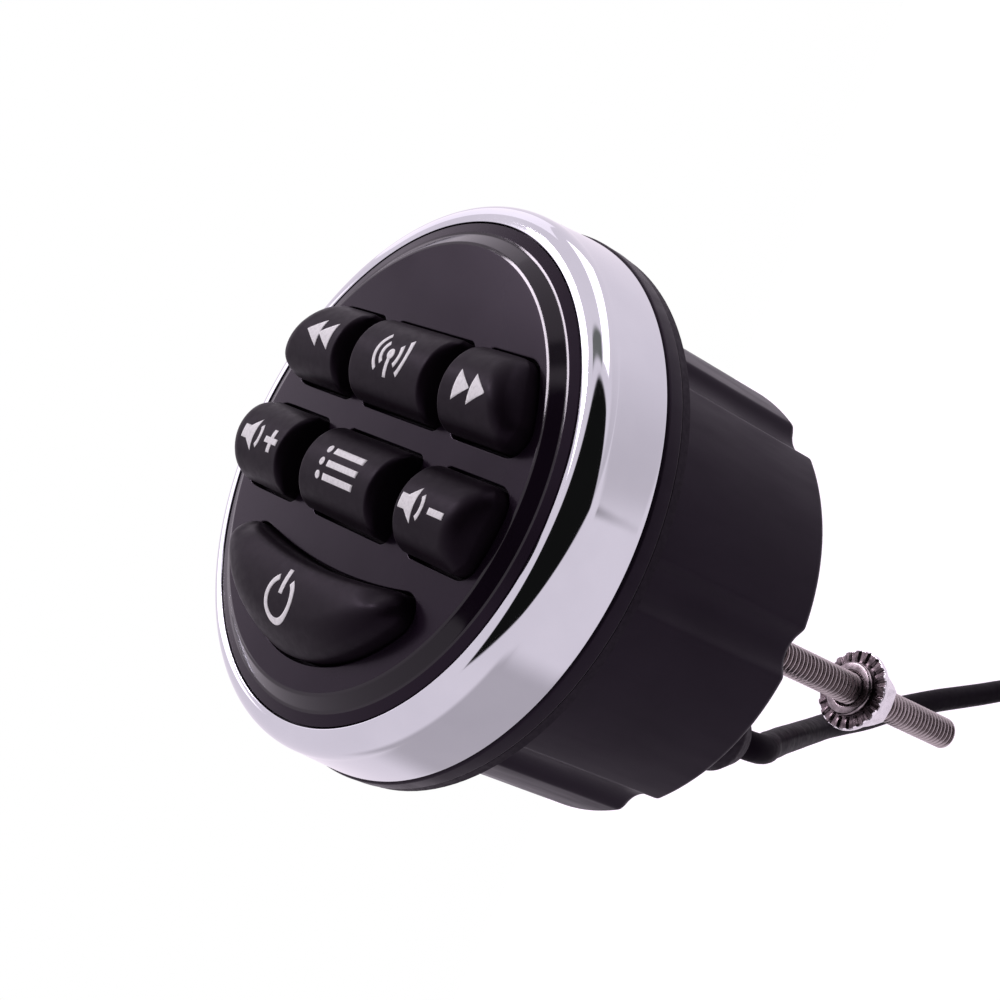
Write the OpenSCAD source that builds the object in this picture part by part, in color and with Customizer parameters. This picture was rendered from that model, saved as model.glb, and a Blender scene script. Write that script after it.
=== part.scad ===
// Round control head of a marine stereo, for a gauge hole in a console.
// The origin is on the centre line at the panel seat, which is the back of the rim gasket.
// +Z points out of the face, +X to the right of the face and +Y to its top. Millimetres.

/* [Bezel] */
// How far the bezel's back edge stays inside the flange's edge
bezel_inset = 0.2; // [0.1:0.1:1]
// Depth of the bezel, from its back edge to its inner lip
bezel_depth = 8.5; // [8:0.1:10]
// How far the bezel's side leans in, from its back edge to its shoulder
bezel_lean = 0.5; // [0.2:0.1:0.8]
// Height of the rounded shoulder below the lip
bezel_shoulder = 2.5; // [1.5:0.1:3]
// Wall of the bezel ring behind its shoulder
bezel_wall = 1.2; // [0.8:0.1:1.6]
// Width of the bezel on the face, from its outside to the opening inside its lip
lip_w = 3; // [2.6:0.1:3.6]
// Thickness of the lip at its inner edge
lip_t = 0.75; // [0.5:0.05:1]

/* [Face] */
// Width of the rim between the bezel's lip and the raised middle of the face
rim_w = 2.75; // [2.2:0.05:3.2]
// Height of the raised middle above the bezel's lip
plateau_rise = 1.3; // [1:0.1:2]
// Radius on the edge of the raised middle
plateau_round = 0.5; // [0.2:0.1:0.8]
// Width of the slope at the foot of the raised middle
step_w = 0.65; // [0.5:0.05:1.2]
// Height from the raised middle down to the rim at the foot of the step
step_h = 0.95; // [0.5:0.05:1.1]
// Fall of the rim, from the step to the lip
rim_fall = 0.25; // [0.1:0.05:0.6]
// Thickness of the face behind its raised middle
panel_t = 1.6; // [1.2:0.1:2]
// Thickness of the face's clamped edge
panel_edge_t = 1.1; // [0.8:0.1:1.6]
// Wall of the face round the pocket behind its raised middle
panel_wall = 0.65; // [0.4:0.05:1]

/* [Keys] */
// Size of a row key from its lower to its upper edge
key_d = 8.9; // [8:0.1:9.4]
// Height of the upper row's centre line above the middle of the face
upper_row_y = 9.7; // [9:0.1:10]
// Height of the lower row's centre line above the middle of the face
lower_row_y = -2.4; // [-3:0.1:-2]
// Width of the middle key of a row
middle_key_w = 14.2; // [12:0.1:15]
// Distance from the centre line to the inner edge of the upper row's end keys
upper_end_x = 9.7; // [9:0.1:11]
// Distance from the centre line to the inner edge of the lower row's end keys
lower_end_x = 11.3; // [9.5:0.1:12]
// Width of the face between the end keys and the edge of the raised middle
end_margin = 1.65; // [1.5:0.05:3]
// Corner radius of the keys' inner corners
key_corner = 0.8; // [0.4:0.1:1.4]
// Corner radius of the end keys' outer corners
end_corner = 2.2; // [1:0.1:3]
// Height of a row key's crown above the face
key_crown = 4.1; // [3:0.1:5]
// Height of a row key's long edges above the face
key_edge = 1.3; // [0.6:0.1:2]
// Level of the middle of the power key's upper edge
power_top_y = -11.7; // [-12:0.1:-11.5]
// Radius of the power key's hollow upper edge
power_top_r = 77; // [50:1:120]
// Width of the face between the power key and the edge of the raised middle
power_margin = 3.35; // [2:0.05:4]
// Corner radius at the power key's ends
power_corner = 2; // [1.4:0.1:2.6]
// Height of the power key's crown above the face
power_crown = 3.8; // [3:0.1:4.4]
// Radius of the power key's crowned top
power_arch_r = 8; // [7.5:0.1:12]
// Level of the power key's ridge on the face
power_ridge_y = -15.2; // [-16:0.1:-14.5]
// Travel of every key
key_travel = 0.9; // [0.5:0.1:1.2]
// How far a key's collar reaches past its cap behind the face
key_collar = 0.6; // [0.45:0.05:0.7]
// Radius of the carbon pill under a key
pill_r = 2; // [1.5:0.1:2.5]
// Thickness of the carbon pill
pill_t = 0.8; // [0.5:0.1:1]

/* [Housing] */
// Diameter of the barrel, for a 52 mm gauge hole
barrel_d = 50.6; // [50:0.1:51.4]
// Length of the barrel behind the panel seat
barrel_len = 26.8; // [22:0.1:32]
// Wall of the barrel
barrel_wall = 2; // [1.8:0.1:2.4]
// Thickness of the back wall
back_wall = 2.5; // [2:0.1:4]
// Radius on the barrel's back edge
back_round = 1; // [0.5:0.1:1.5]
// Radius of the tool that cuts a groove along the barrel
groove_r = 3.6; // [3:0.1:5]
// Depth of a groove
groove_depth = 1.2; // [0.6:0.1:1.3]
// Angle between neighbouring grooves on one side of the barrel
groove_pitch = 57; // [50:1:60]
// How far the front flange reaches past the barrel
flange_over = 4.9; // [4.7:0.1:6]
// Thickness of the front flange
flange_t = 2; // [1.5:0.1:3]
// Radius on the flange's edges
flange_round = 0.3; // [0.2:0.1:0.7]
// Thickness of the rim gasket
gasket_t = 1; // [0.6:0.1:1.5]
// How far the gasket's edge stays inside the flange's edge
gasket_inset = 0.1; // [0.1:0.1:0.6]
// How far the gasket's locating step stands out from the barrel
gasket_step = 0.3; // [0.3:0.05:0.6]
// Wall of the raised ring inside the bezel
collar_wall = 1.9; // [1.7:0.1:2.2]
// Width of the face seal
seal_w = 1; // [0.7:0.1:1.1]
// Depth of the face seal's groove
seal_depth = 0.8; // [0.5:0.1:1.2]

/* [Stud and nut] */
// Diameter of the stud
stud_d = 4; // [3.9:0.1:4.2]
// Length of the stud behind the back wall
stud_len = 57.5; // [56:0.1:70]
// Depth of the stud in its insert
stud_depth = 8; // [6:0.5:9]
// Diameter of the brass insert
insert_d = 7; // [6:0.1:8]
// Length of the brass insert
insert_len = 9; // [9:0.5:12]
// Wall of plastic round the insert
insert_wall = 2; // [1.5:0.1:3]
// Distance from the back wall to the washer's biting face
washer_out = 37.6; // [37:0.1:40]
// Diameter of the serrated washer
washer_d = 10.2; // [9:0.1:10.4]
// Thickness of the serrated washer
washer_t = 0.9; // [0.8:0.1:1.2]
// Number of teeth on the washer's face
washer_teeth = 20; // [12:1:24]
// Depth of the notches between the teeth
tooth_depth = 0.35; // [0.2:0.05:0.5]
// Width of a notch
tooth_gap = 0.55; // [0.3:0.05:0.7]
// Width of the nut across its flats
nut_af = 7; // [7:0.1:8]
// Height of the nut's hexagon
nut_h = 3.2; // [2.4:0.1:4]
// Radius of the nut's collar inside the washer
nut_collar_r = 3.05; // [2.7:0.05:3.2]
// How far the rolled lip of the collar reaches over the washer
nut_lip = 0.4; // [0.2:0.05:0.6]
// Height of the rolled lip
nut_lip_h = 0.6; // [0.3:0.1:0.8]

/* [Cable] */
// Diameter of the cable
cable_d = 3.3; // [3.1:0.1:3.4]
// Distance of the gland's middle from the barrel's inside wall
gland_inset = 3.2; // [3:0.1:5]
// Diameter of the gland outside the back wall
gland_d = 8.4; // [7:0.1:8.8]
// Diameter of the gland's outer end
gland_end_d = 5.8; // [5:0.1:6.6]
// Length of the gland outside the back wall
gland_len = 4.5; // [3.5:0.1:6]
// Diameter of the gland's neck in the back wall
gland_neck_d = 5.2; // [4.6:0.1:5.4]
// Thickness of the gland's inner flange
gland_lock_t = 1.5; // [1:0.1:2]
// How far the jacketed cable reaches past the gland inside
tail_len = 4; // [2:0.5:6]
// Radius of the coil's outermost turn, to the cable's middle
coil_r = 21.5; // [20:0.5:24]
// Free space between neighbouring turns of the coil
coil_gap = 0.5; // [0.45:0.05:0.8]
// Straight length of the cable between the coil and the plug
coil_tail = 10; // [8:0.5:16]
// Width of the tie round the coil
tie_w = 5; // [3:0.5:8]
// Thickness of the tie
tie_t = 0.9; // [0.6:0.1:1.5]
// Length of the plug's tapered boot
boot_len = 11; // [8:0.5:16]
// Wall of the boot where the cable enters it
boot_wall = 0.5; // [0.3:0.1:0.8]
// Diameter of the plug's body
plug_d = 7.4; // [6.6:0.1:9]
// Length of the plug's body
plug_len = 15; // [12:0.5:20]
// Diameter of the plug's pin
pin_d = 3.5; // [3.4:0.1:3.6]
// Length of the plug's pin
pin_len = 14; // [14:0.5:15]
// Length of an insulating band on the pin
band_len = 0.7; // [0.5:0.1:1]

/* [Inside] */
// Thickness of the circuit board
board_t = 1.6; // [1:0.1:2]
// Thickness of a contact pad
pad_t = 0.05; // [0.03:0.01:0.1]
// How far a contact pad reaches past the pill
pad_margin = 0.4; // [0.2:0.1:0.6]
// Distance of a board screw from the edge of the pocket behind the face
screw_inset = 1.7; // [1.5:0.1:2]
// Distance of the upper board screws from the face's upright centre line
upper_screw_x = 8; // [7:0.5:9]
// Wall of the mat between the lower board screws and the lower row of keys
screw_web = 0.5; // [0.2:0.1:0.8]
// Diameter of a board screw's thread
screw_d = 2.2; // [2:0.1:2.4]
// Diameter of a board screw's head
screw_head_d = 3.8; // [3.4:0.1:4]
// Height of a board screw's head
screw_head_h = 1.2; // [0.8:0.1:1.3]
// Length of a board screw under its head
screw_len = 8; // [6:0.5:12]
// Diameter of a screw boss
boss_d = 5; // [4.4:0.1:5.4]
// Length of a screw boss under the board
boss_len = 10; // [9:0.5:14]
// Width of the controller chip
chip_w = 7; // [5:0.5:8]
// Thickness of the controller chip
chip_t = 1; // [0.8:0.1:1.4]
// Length of the board socket along its row of contacts
socket_l = 10; // [9:0.5:12]
// Width of the board socket
socket_w = 5; // [4:0.5:6]
// Height of the board socket
socket_h = 6; // [4:0.5:7]
// Length of the lead plug that hangs from the socket
lead_plug_h = 5; // [3:0.5:6]
// Pitch of the contacts in the socket
contact_pitch = 2; // [1.5:0.1:2.2]
// Diameter of an inner lead
lead_d = 0.9; // [0.6:0.1:1.1]

/* [Fits] */
// Free slot round a key in its window
key_slot = 0.3; // [0.2:0.05:0.35]
// Free slot round a key's collar in the mat
mat_slot = 0.3; // [0.2:0.05:0.35]
// Gap between a key's collar and the back of the face
key_rest_gap = 0.12; // [0.05:0.01:0.2]
// Gap left under a key that is pressed home
key_stop_gap = 0.1; // [0.05:0.05:0.2]
// Assembly gap between rigid pieces that fit together
fit_gap = 0.15; // [0.1:0.05:0.2]
// Gap between pieces that are pressed or moulded together
press_gap = 0.03; // [0.02:0.01:0.05]
// Running gap between nut, washer and stud
run_gap = 0.05; // [0.03:0.01:0.1]

/* [Hidden] */
$fn = 64;

// A little extra on cutting tools, so that no skin is left
over = 1;
half_turn = 180;
full_turn = 360;

// Levels along the centre line, from the panel seat to the crown of the face
bezel_z = gasket_t + flange_t;
lip_z = bezel_z + bezel_depth;
plateau_z = lip_z + plateau_rise;
rim_z = plateau_z - step_h;
panel_under_z = plateau_z - panel_t;
edge_top_z = lip_z - lip_t - fit_gap;
edge_z = edge_top_z - panel_edge_t;
back_z = -barrel_len;
floor_z = back_z + back_wall;

// Radii about the centre line
barrel_r = barrel_d / 2;
barrel_in_r = barrel_r - barrel_wall;
step_r = barrel_r + gasket_step;
flange_r = barrel_r + flange_over;
bezel_r = flange_r - bezel_inset;
bore_r = bezel_r - bezel_lean - bezel_wall;
lip_r = bezel_r - lip_w;
face_r = lip_r - fit_gap;
edge_r = bore_r - fit_gap;
collar_in_r = edge_r - collar_wall;
seal_r = (edge_r + collar_in_r) / 2;
plateau_r = lip_r - rim_w;
pocket_r = plateau_r - panel_wall;
end_arc_r = plateau_r - end_margin;
power_arc_r = plateau_r - power_margin;

// Keys: the collar hangs behind the face, and the pill stops on the board's contact pad
collar_top_z = panel_under_z - key_rest_gap;
pad_z = edge_z - screw_head_h - fit_gap;
board_top_z = pad_z - pad_t;
pill_z = pad_z + key_travel + key_stop_gap;
collar_z = pill_z + pill_t;
board_z = board_top_z - board_t;
key_clip_r = pocket_r - mat_slot;

// The power key's end fillets touch its lower arc from inside and its hollow upper arc from outside
power_top_c = power_top_y + power_top_r;

// Board screws stand at these four places, close to the edge of the pocket and clear of the keys
screw_r = pocket_r - screw_inset;
upper_screw_y = sqrt(screw_r * screw_r - upper_screw_x * upper_screw_x);
lower_screw_y = lower_row_y - key_d / 2 - key_collar - 2 * mat_slot - screw_web - screw_head_d / 2;
lower_screw_x = sqrt(screw_r * screw_r - lower_screw_y * lower_screw_y);
SCREWS = [
  [upper_screw_x, upper_screw_y], [-upper_screw_x, upper_screw_y],
  [lower_screw_x, lower_screw_y], [-lower_screw_x, lower_screw_y]
];

// Stud, washer and nut, along the centre line
insert_z = back_z + insert_len;
stud_end_z = back_z - stud_len;
washer_z = back_z - washer_out;
nut_z = washer_z - washer_t - run_gap;
washer_bore_r = nut_collar_r + run_gap;
stud_r = stud_d / 2;
nut_bore_r = stud_r + run_gap;
nut_chamfer = 0.35;

// The gland stands low on the right of the back wall
gland_angle = -32.2;
gland_x = (barrel_in_r - gland_inset) * cos(gland_angle);
gland_y = (barrel_in_r - gland_inset) * sin(gland_angle);
cable_r = cable_d / 2;
gland_bore_r = cable_r + press_gap;
gland_lip = 0.25;
gland_end_z = back_z - gland_len;
tail_z = floor_z + gland_lock_t + tail_len;

// The socket hangs under the board, towards the gland
socket_x = 8;
socket_y = -8;
socket_z = board_z - socket_h;
lead_plug_z = socket_z - lead_plug_h;
LEAD_TURNS = [180, 110, -70, 0];
lead_count = len(LEAD_TURNS);
lead_rings = 10;

// Free route of the cable, chosen by hand, with its height measured from the gland's end
ROUTE = [
  [gland_x, gland_y, 0], [gland_x, gland_y, -1.3], [gland_x - 0.2, gland_y + 0.04, -3.4],
  [gland_x - 0.85, gland_y + 0.15, -5.5], [gland_x - 2.1, gland_y + 0.35, -7.6], [12.6, -10.05, -10.3],
  [9.9, -9.6, -14], [6.9, -9.1, -18],
  [3.5, -8.55, -22.7], [0.1, -8, -27.4], [-3.1, -7.35, -32], [-6.2, -6.6, -36.7], [-9.2, -5.5, -41.8],
  [-12, -4.1, -47.7], [-14.8, -2.2, -54.7], [-17.4, 0.2, -61.7], [-19.8, 2.4, -68.7], [-22, 4.6, -75.7],
  [-24.2, 6.6, -82.7], [-26.4, 8.6, -89.7], [-28.6, 10.6, -96.5], [-30.4, 12.4, -102.7], [-31, 13.6, -107.5],
  [-31, 12.9, -111.6], [-31, 10.8, -115.2]
];
route_sides = 8;

// The coil hangs in the plane of Y and Z: two layers, spiralling in and out again
coil_c = [-31, 14.5, gland_end_z - 138.7];
coil_start = 60;
coil_turns = 4;
coil_rings = 24;
coil_sides = 6;
coil_pitch = cable_d + coil_gap;
coil_sweep = coil_start + full_turn * coil_turns;
coil_steps = coil_rings * coil_turns + round(coil_rings * coil_start / full_turn);
tie_angle = -112;
plug_x = coil_c[0] + coil_pitch;
plug_y = coil_c[1] - coil_r;
plug_top_z = coil_c[2] - coil_tail;
boot_z = plug_top_z - boot_len;
plug_z = boot_z - plug_len;

// Colours, as the photograph shows them
soft_black = [0.14, 0.13, 0.14];
shell_black = [0.17, 0.15, 0.17];
face_black = [0.25, 0.22, 0.25];
bright_plate = [0.82, 0.8, 0.84];
plain_steel = [0.58, 0.54, 0.53];
brass_gold = [0.76, 0.62, 0.3];
board_green = [0.1, 0.32, 0.2];
chip_black = [0.1, 0.1, 0.11];
socket_white = [0.88, 0.86, 0.8];
tie_grey = [0.2, 0.2, 0.22];
carbon_black = [0.08, 0.08, 0.08];
lead_red = [0.6, 0.15, 0.12];

// Points of an arc about c, from angle a0 to angle a1
function arc(c, r, a0, a1, steps = 8) =
  [for (i = [0 : steps]) let (a = a0 + (a1 - a0) * i / steps) c + r * [cos(a), sin(a)]];

// Outline of a middle key, grown by g on every side
function middle_outline(y, g) =
  let (
    r = key_corner + g,
    x = middle_key_w / 2 + g - r,
    h = key_d / 2 + g - r
  )
  concat(
    arc([x, y - h], r, -90, 0), arc([x, y + h], r, 0, 90),
    arc([-x, y + h], r, 90, 180), arc([-x, y - h], r, 180, 270)
  );

// Outline of a right-hand end key, whose outer edge follows an arc about the middle of the face
function end_outline(y, inner_x, g) =
  let (
    r = key_corner + g,
    f = end_corner + g,
    reach = end_arc_r + g - f,
    low = y - key_d / 2 - g,
    high = y + key_d / 2 + g,
    c_low = [sqrt(reach * reach - (low + f) * (low + f)), low + f],
    c_high = [sqrt(reach * reach - (high - f) * (high - f)), high - f],
    a_low = atan2(c_low[1], c_low[0]),
    a_high = atan2(c_high[1], c_high[0]),
    x = inner_x - g + r
  )
  concat(
    arc(c_low, f, -90, a_low), arc([0, 0], end_arc_r + g, a_low, a_high), arc(c_high, f, a_high, 90),
    arc([x, high - r], r, 90, 180), arc([x, low + r], r, 180, 270)
  );

// Outline of the power key: a segment of the face with a slightly hollow upper edge
function power_outline(g) =
  let (
    f = power_corner + g,
    reach = power_arc_r + g - f,
    top_r = power_top_r - g,
    y = (power_top_c * power_top_c + reach * reach - (top_r + f) * (top_r + f)) / (2 * power_top_c),
    x = sqrt(reach * reach - y * y),
    a_low = atan2(y, x),
    a_top = atan2(power_top_c - y, -x)
  )
  concat(
    arc([0, 0], power_arc_r + g, -half_turn - a_low, a_low, 24),
    arc([x, y], f, a_low, a_top),
    arc([0, power_top_c], top_r, a_top - half_turn, -a_top),
    arc([-x, y], f, half_turn - a_top, half_turn - a_low)
  );

// A ring of points round place p, square to direction d
function ring(p, d, r, sides, side_hint) =
  let (
    w = d / norm(d),
    u0 = cross(w, side_hint),
    u = u0 / norm(u0),
    v = cross(w, u)
  )
  [for (k = [0 : sides - 1]) let (a = full_turn * k / sides) p + r * (cos(a) * u + sin(a) * v)];

// Direction of a path at point i
function heading(path, i) = path[min(i + 1, len(path) - 1)] - path[max(i - 1, 0)];

// Triangles of a tube of n rings with closed ends
function tube_faces(n, s) = concat(
  [for (i = [0 : n - 2], k = [0 : s - 1]) [i * s + k, i * s + (k + 1) % s, (i + 1) * s + k]],
  [
    for (i = [0 : n - 2], k = [0 : s - 1])
      [i * s + (k + 1) % s, (i + 1) * s + (k + 1) % s, (i + 1) * s + k]
  ],
  [for (k = [1 : s - 2]) [0, k + 1, k]],
  [for (k = [1 : s - 2]) [(n - 1) * s, (n - 1) * s + k, (n - 1) * s + k + 1]]
);

// One unbroken tube along a path
module tube(path, r, sides, side_hint) {
  n = len(path);
  rings = [for (i = [0 : n - 1]) each ring(path[i], heading(path, i), r, sides, side_hint)];
  polyhedron(rings, [for (f = tube_faces(n, sides)) [f[0], f[2], f[1]]]);
}

// A smooth change from 0 to 1
function ease(t) = let (c = max(0, min(1, t))) c * c * (3 - 2 * c);

// Place on the coil after turning through angle a: in on the first layer, out on the second
function coil_point(a) =
  let (
    mid = coil_sweep / 2,
    r = coil_r - coil_pitch * (mid - abs(a - mid)) / full_turn,
    layer = coil_pitch * ease((a - mid + 90) / half_turn),
    t = coil_start - a
  )
  coil_c + [layer, -r * cos(t), r * sin(t)];

// The coil's turns, with a straight end one cable diameter long on each side
coil_turn_points = [for (i = [0 : coil_steps]) coil_point(coil_sweep * i / coil_steps)];
coil_in = cable_d * [0, -sin(coil_start), -cos(coil_start)];
coil_out = [0, 0, -coil_tail];
COIL = concat(
  [coil_turn_points[0] - coil_in], coil_turn_points, [coil_turn_points[coil_steps] + coil_out]
);

// Length of a path, and the least gap between turns that are more than half a turn apart
function path_length(p) = let (d = [for (i = [1 : len(p) - 1]) norm(p[i] - p[i - 1])]) d * [for (x = d) 1];
coil_least_gap = min([
  for (i = [0 : len(COIL) - 1], k = [i + coil_rings / 2 : len(COIL) - 1]) norm(COIL[i] - COIL[k])
]) - cable_d;
lead_straight = 0.35 * coil_in;
LEAD = concat([for (p = ROUTE) p + [0, 0, gland_end_z]], [COIL[0] - lead_straight, COIL[0]]);
echo(coil_least_gap = coil_least_gap, coil_length = path_length(COIL), lead_length = path_length(LEAD));

// A flat ring
module flat_ring(outer, inner, z0, z1) {
  translate([0, 0, z0]) difference() {
    cylinder(r = outer, h = z1 - z0);
    translate([0, 0, -over]) cylinder(r = inner, h = z1 - z0 + 2 * over);
  }
}

// A disc with rounded edges, as a profile to turn about the centre line
module rounded_half(r, z0, z1, edge) {
  translate([0, z0]) square([r - edge, z1 - z0]);
  translate([0, z0 + edge]) square([r, z1 - z0 - 2 * edge]);
  translate([r - edge, z0 + edge]) circle(edge);
  translate([r - edge, z1 - edge]) circle(edge);
}

// The barrel's cup, turned about the centre line, with a round back edge
module cup_profile() {
  translate([0, back_z]) square([barrel_r - back_round, barrel_len]);
  translate([0, back_z + back_round]) square([barrel_r, barrel_len - back_round]);
  translate([barrel_r - back_round, back_z + back_round]) circle(back_round);
}

// Black cup: barrel with grooves, flange, gasket step and the ring that carries face and bezel
module housing() {
  color(shell_black) difference() {
    union() {
      difference() {
        union() {
          rotate_extrude() cup_profile();
          cylinder(r = step_r, h = gasket_t);
        }
        translate([0, 0, floor_z]) cylinder(r = barrel_in_r, h = barrel_len + gasket_t);
        for (side = [0, half_turn], i = [-1 : 1])
          rotate([0, 0, side + i * groove_pitch])
            translate([barrel_r - groove_depth + groove_r, 0, back_z - over])
              cylinder(r = groove_r, h = barrel_len + over);
      }
      difference() {
        rotate_extrude() rounded_half(flange_r, gasket_t, bezel_z, flange_round);
        cylinder(r = barrel_in_r, h = bezel_z + over);
      }
      flat_ring(edge_r, collar_in_r, bezel_z, edge_z);
      translate([0, 0, floor_z])
        cylinder(d = insert_d + 2 * insert_wall, h = insert_len - back_wall + insert_wall);
      intersection() {
        translate([0, 0, board_z - boss_len])
          cylinder(r = barrel_in_r + (barrel_wall - groove_depth) / 2, h = boss_len);
        for (p = SCREWS) translate([p[0], p[1], board_z - boss_len]) cylinder(d = boss_d, h = boss_len);
      }
    }
    for (p = SCREWS)
      translate([p[0], p[1], board_top_z - screw_len - fit_gap])
        cylinder(d = screw_d + 2 * press_gap, h = screw_len + over);
    translate([0, 0, back_z - over])
      cylinder(d = insert_d + 2 * press_gap, h = insert_len + over + press_gap);
    translate([gland_x, gland_y, back_z - over])
      cylinder(d = gland_neck_d + 2 * press_gap, h = back_wall + 2 * over);
    flat_ring(
      seal_r + seal_w / 2 + press_gap, seal_r - seal_w / 2 - press_gap, edge_z - seal_depth, edge_z + over
    );
  }
}

// Thin rubber ring that meets the console
module rim_gasket() {
  color(soft_black) flat_ring(flange_r - gasket_inset, step_r + press_gap, 0, gasket_t);
}

// Points of the bezel's rounded shoulder, from its straight side up to the lip
shoulder_power = 2.3;
shoulder_steps = 10;
SHOULDER = [
  for (i = [0 : shoulder_steps])
    let (a = 90 * i / shoulder_steps)
      [
        lip_r + (bezel_r - bezel_lean - lip_r) * pow(max(0, cos(a)), 2 / shoulder_power),
        lip_z - bezel_shoulder + bezel_shoulder * pow(sin(a), 2 / shoulder_power)
      ]
];

// Bright ring that clamps the face
module bezel_ring() {
  color(bright_plate) rotate_extrude() polygon(concat(
    [[bore_r, bezel_z], [bezel_r, bezel_z]], SHOULDER,
    [[lip_r, lip_z - lip_t], [bore_r, lip_z - lip_t]]
  ));
}

// Half section of the face: raised middle, step, sloping rim and clamped edge
module face_profile() {
  translate([0, panel_under_z]) square([plateau_r - plateau_round, panel_t]);
  translate([plateau_r - plateau_round, plateau_z - plateau_round]) circle(plateau_round);
  polygon([
    [0, edge_z], [edge_r, edge_z], [edge_r, edge_top_z], [face_r, edge_top_z], [face_r, rim_z - rim_fall],
    [plateau_r + step_w, rim_z], [plateau_r, plateau_z - plateau_round], [0, plateau_z - plateau_round]
  ]);
}

// Plan of a key by its row and its place in the row, grown by g
module key_plan(row, place, g) {
  if (row == "power")
    polygon(power_outline(g));
  else if (place == 0)
    polygon(middle_outline(row == "upper" ? upper_row_y : lower_row_y, g));
  else
    mirror([place < 0 ? 1 : 0, 0])
      polygon(end_outline(
        row == "upper" ? upper_row_y : lower_row_y, row == "upper" ? upper_end_x : lower_end_x, g
      ));
}

// Every key's row and place
KEYS = [
  ["upper", -1], ["upper", 0], ["upper", 1], ["lower", -1], ["lower", 0], ["lower", 1], ["power", 0]
];

// Middle of a key on the face
function key_x(row, place) =
  row == "power" || place == 0 ? 0 : place * ((row == "upper" ? upper_end_x : lower_end_x) + end_arc_r) / 2;
function key_y(row) = row == "power" ? power_ridge_y : row == "upper" ? upper_row_y : lower_row_y;

// Black face with its seven windows
module face_panel() {
  color(face_black) difference() {
    rotate_extrude() face_profile();
    translate([0, 0, edge_z - over]) cylinder(r = pocket_r, h = panel_under_z - edge_z + over);
    for (k = KEYS)
      translate([0, 0, panel_under_z - over])
        linear_extrude(panel_t + 2 * over) key_plan(k[0], k[1], key_slot);
  }
}

// Rubber ring between the face's clamped edge and the housing
module face_seal() {
  color(soft_black)
    flat_ring(seal_r + seal_w / 2, seal_r - seal_w / 2, edge_z - seal_depth + press_gap, edge_z);
}

// Rubber mat between board and face, with a pocket for each key and room for the screw heads
module keypad_mat() {
  color(soft_black) difference() {
    translate([0, 0, board_top_z]) cylinder(r = pocket_r - fit_gap, h = panel_under_z - board_top_z);
    for (k = KEYS)
      translate([0, 0, board_top_z - over])
        linear_extrude(panel_under_z - board_top_z + 2 * over) key_plan(k[0], k[1], key_collar + mat_slot);
    for (p = SCREWS)
      translate([p[0], p[1], board_top_z - over])
        cylinder(d = screw_head_d + 2 * mat_slot, h = screw_head_h + mat_slot + over);
  }
}

// Crowned top of a key: a long barrel vault over straight sides
module key_vault(ridge_y, crown, arch_r) {
  axis_z = plateau_z + crown - arch_r;
  translate([-bezel_r, ridge_y, axis_z]) rotate([0, 90, 0]) cylinder(r = arch_r, h = 2 * bezel_r);
  translate([-bezel_r, ridge_y - arch_r, axis_z - arch_r]) cube([2 * bezel_r, 2 * arch_r, arch_r]);
}

// A key: crowned cap in its window, on a collar behind the face
module key_solid(row, place) {
  rise = key_crown - key_edge;
  arch_r = row == "power" ? power_arch_r : (key_d * key_d / 4 + rise * rise) / (2 * rise);
  crown = row == "power" ? power_crown : key_crown;
  color(soft_black) union() {
    intersection() {
      translate([0, 0, collar_z]) linear_extrude(plateau_z + crown - collar_z) key_plan(row, place, 0);
      key_vault(key_y(row), crown, arch_r);
    }
    translate([0, 0, collar_z]) linear_extrude(collar_top_z - collar_z) intersection() {
      key_plan(row, place, key_collar);
      circle(key_clip_r);
    }
  }
}

// Carbon pill under a key
module pill_solid(row, place) {
  color(carbon_black) translate([key_x(row, place), key_y(row), pill_z]) cylinder(r = pill_r, h = pill_t);
}

module key_previous() { key_solid("upper", -1); }
module key_band() { key_solid("upper", 0); }
module key_next() { key_solid("upper", 1); }
module key_volume_up() { key_solid("lower", -1); }
module key_mode() { key_solid("lower", 0); }
module key_volume_down() { key_solid("lower", 1); }
module key_power() { key_solid("power", 0); }
module pill_previous() { pill_solid("upper", -1); }
module pill_band() { pill_solid("upper", 0); }
module pill_next() { pill_solid("upper", 1); }
module pill_volume_up() { pill_solid("lower", -1); }
module pill_mode() { pill_solid("lower", 0); }
module pill_volume_down() { pill_solid("lower", 1); }
module pill_power() { pill_solid("power", 0); }

// Round board on the four screw bosses
module circuit_board() {
  color(board_green) difference() {
    translate([0, 0, board_z]) cylinder(r = collar_in_r - fit_gap, h = board_t);
    for (p = SCREWS)
      translate([p[0], p[1], board_z - over]) cylinder(d = screw_d + 2 * fit_gap, h = board_t + 2 * over);
  }
}

// One gold pad under each key
module contact_pads() {
  color(brass_gold) for (k = KEYS)
    translate([key_x(k[0], k[1]), key_y(k[0]), board_top_z]) cylinder(r = pill_r + pad_margin, h = pad_t);
}

// Controller on the back of the board
module controller_chip() {
  color(chip_black) translate([-chip_w / 2, -chip_w / 2, board_z - chip_t]) cube([chip_w, chip_w, chip_t]);
}

// Two rows of small parts beside the controller
part_l = 2;
part_w = 1.25;
part_h = 0.7;
part_pitch = 2.4;
part_row = 4;
module board_parts() {
  color(tie_grey) for (side = [-1, 1], i = [0 : part_row - 1])
    translate([
      side * (chip_w / 2 + part_l) - part_l / 2,
      (i - (part_row - 1) / 2) * part_pitch - part_w / 2,
      board_z - part_h
    ])
      cube([part_l, part_w, part_h]);
}

// Four small screws through the board into the bosses
module board_screws() {
  color(plain_steel) for (p = SCREWS) translate([p[0], p[1], board_top_z]) {
    cylinder(d = screw_head_d, h = screw_head_h);
    translate([0, 0, -screw_len]) cylinder(d = screw_d, h = screw_len);
  }
}

// Socket on the back of the board, beyond the small parts
module board_socket() {
  color(socket_white) translate([socket_x - socket_l / 2, socket_y - socket_w / 2, socket_z])
    cube([socket_l, socket_w, socket_h]);
}

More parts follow.
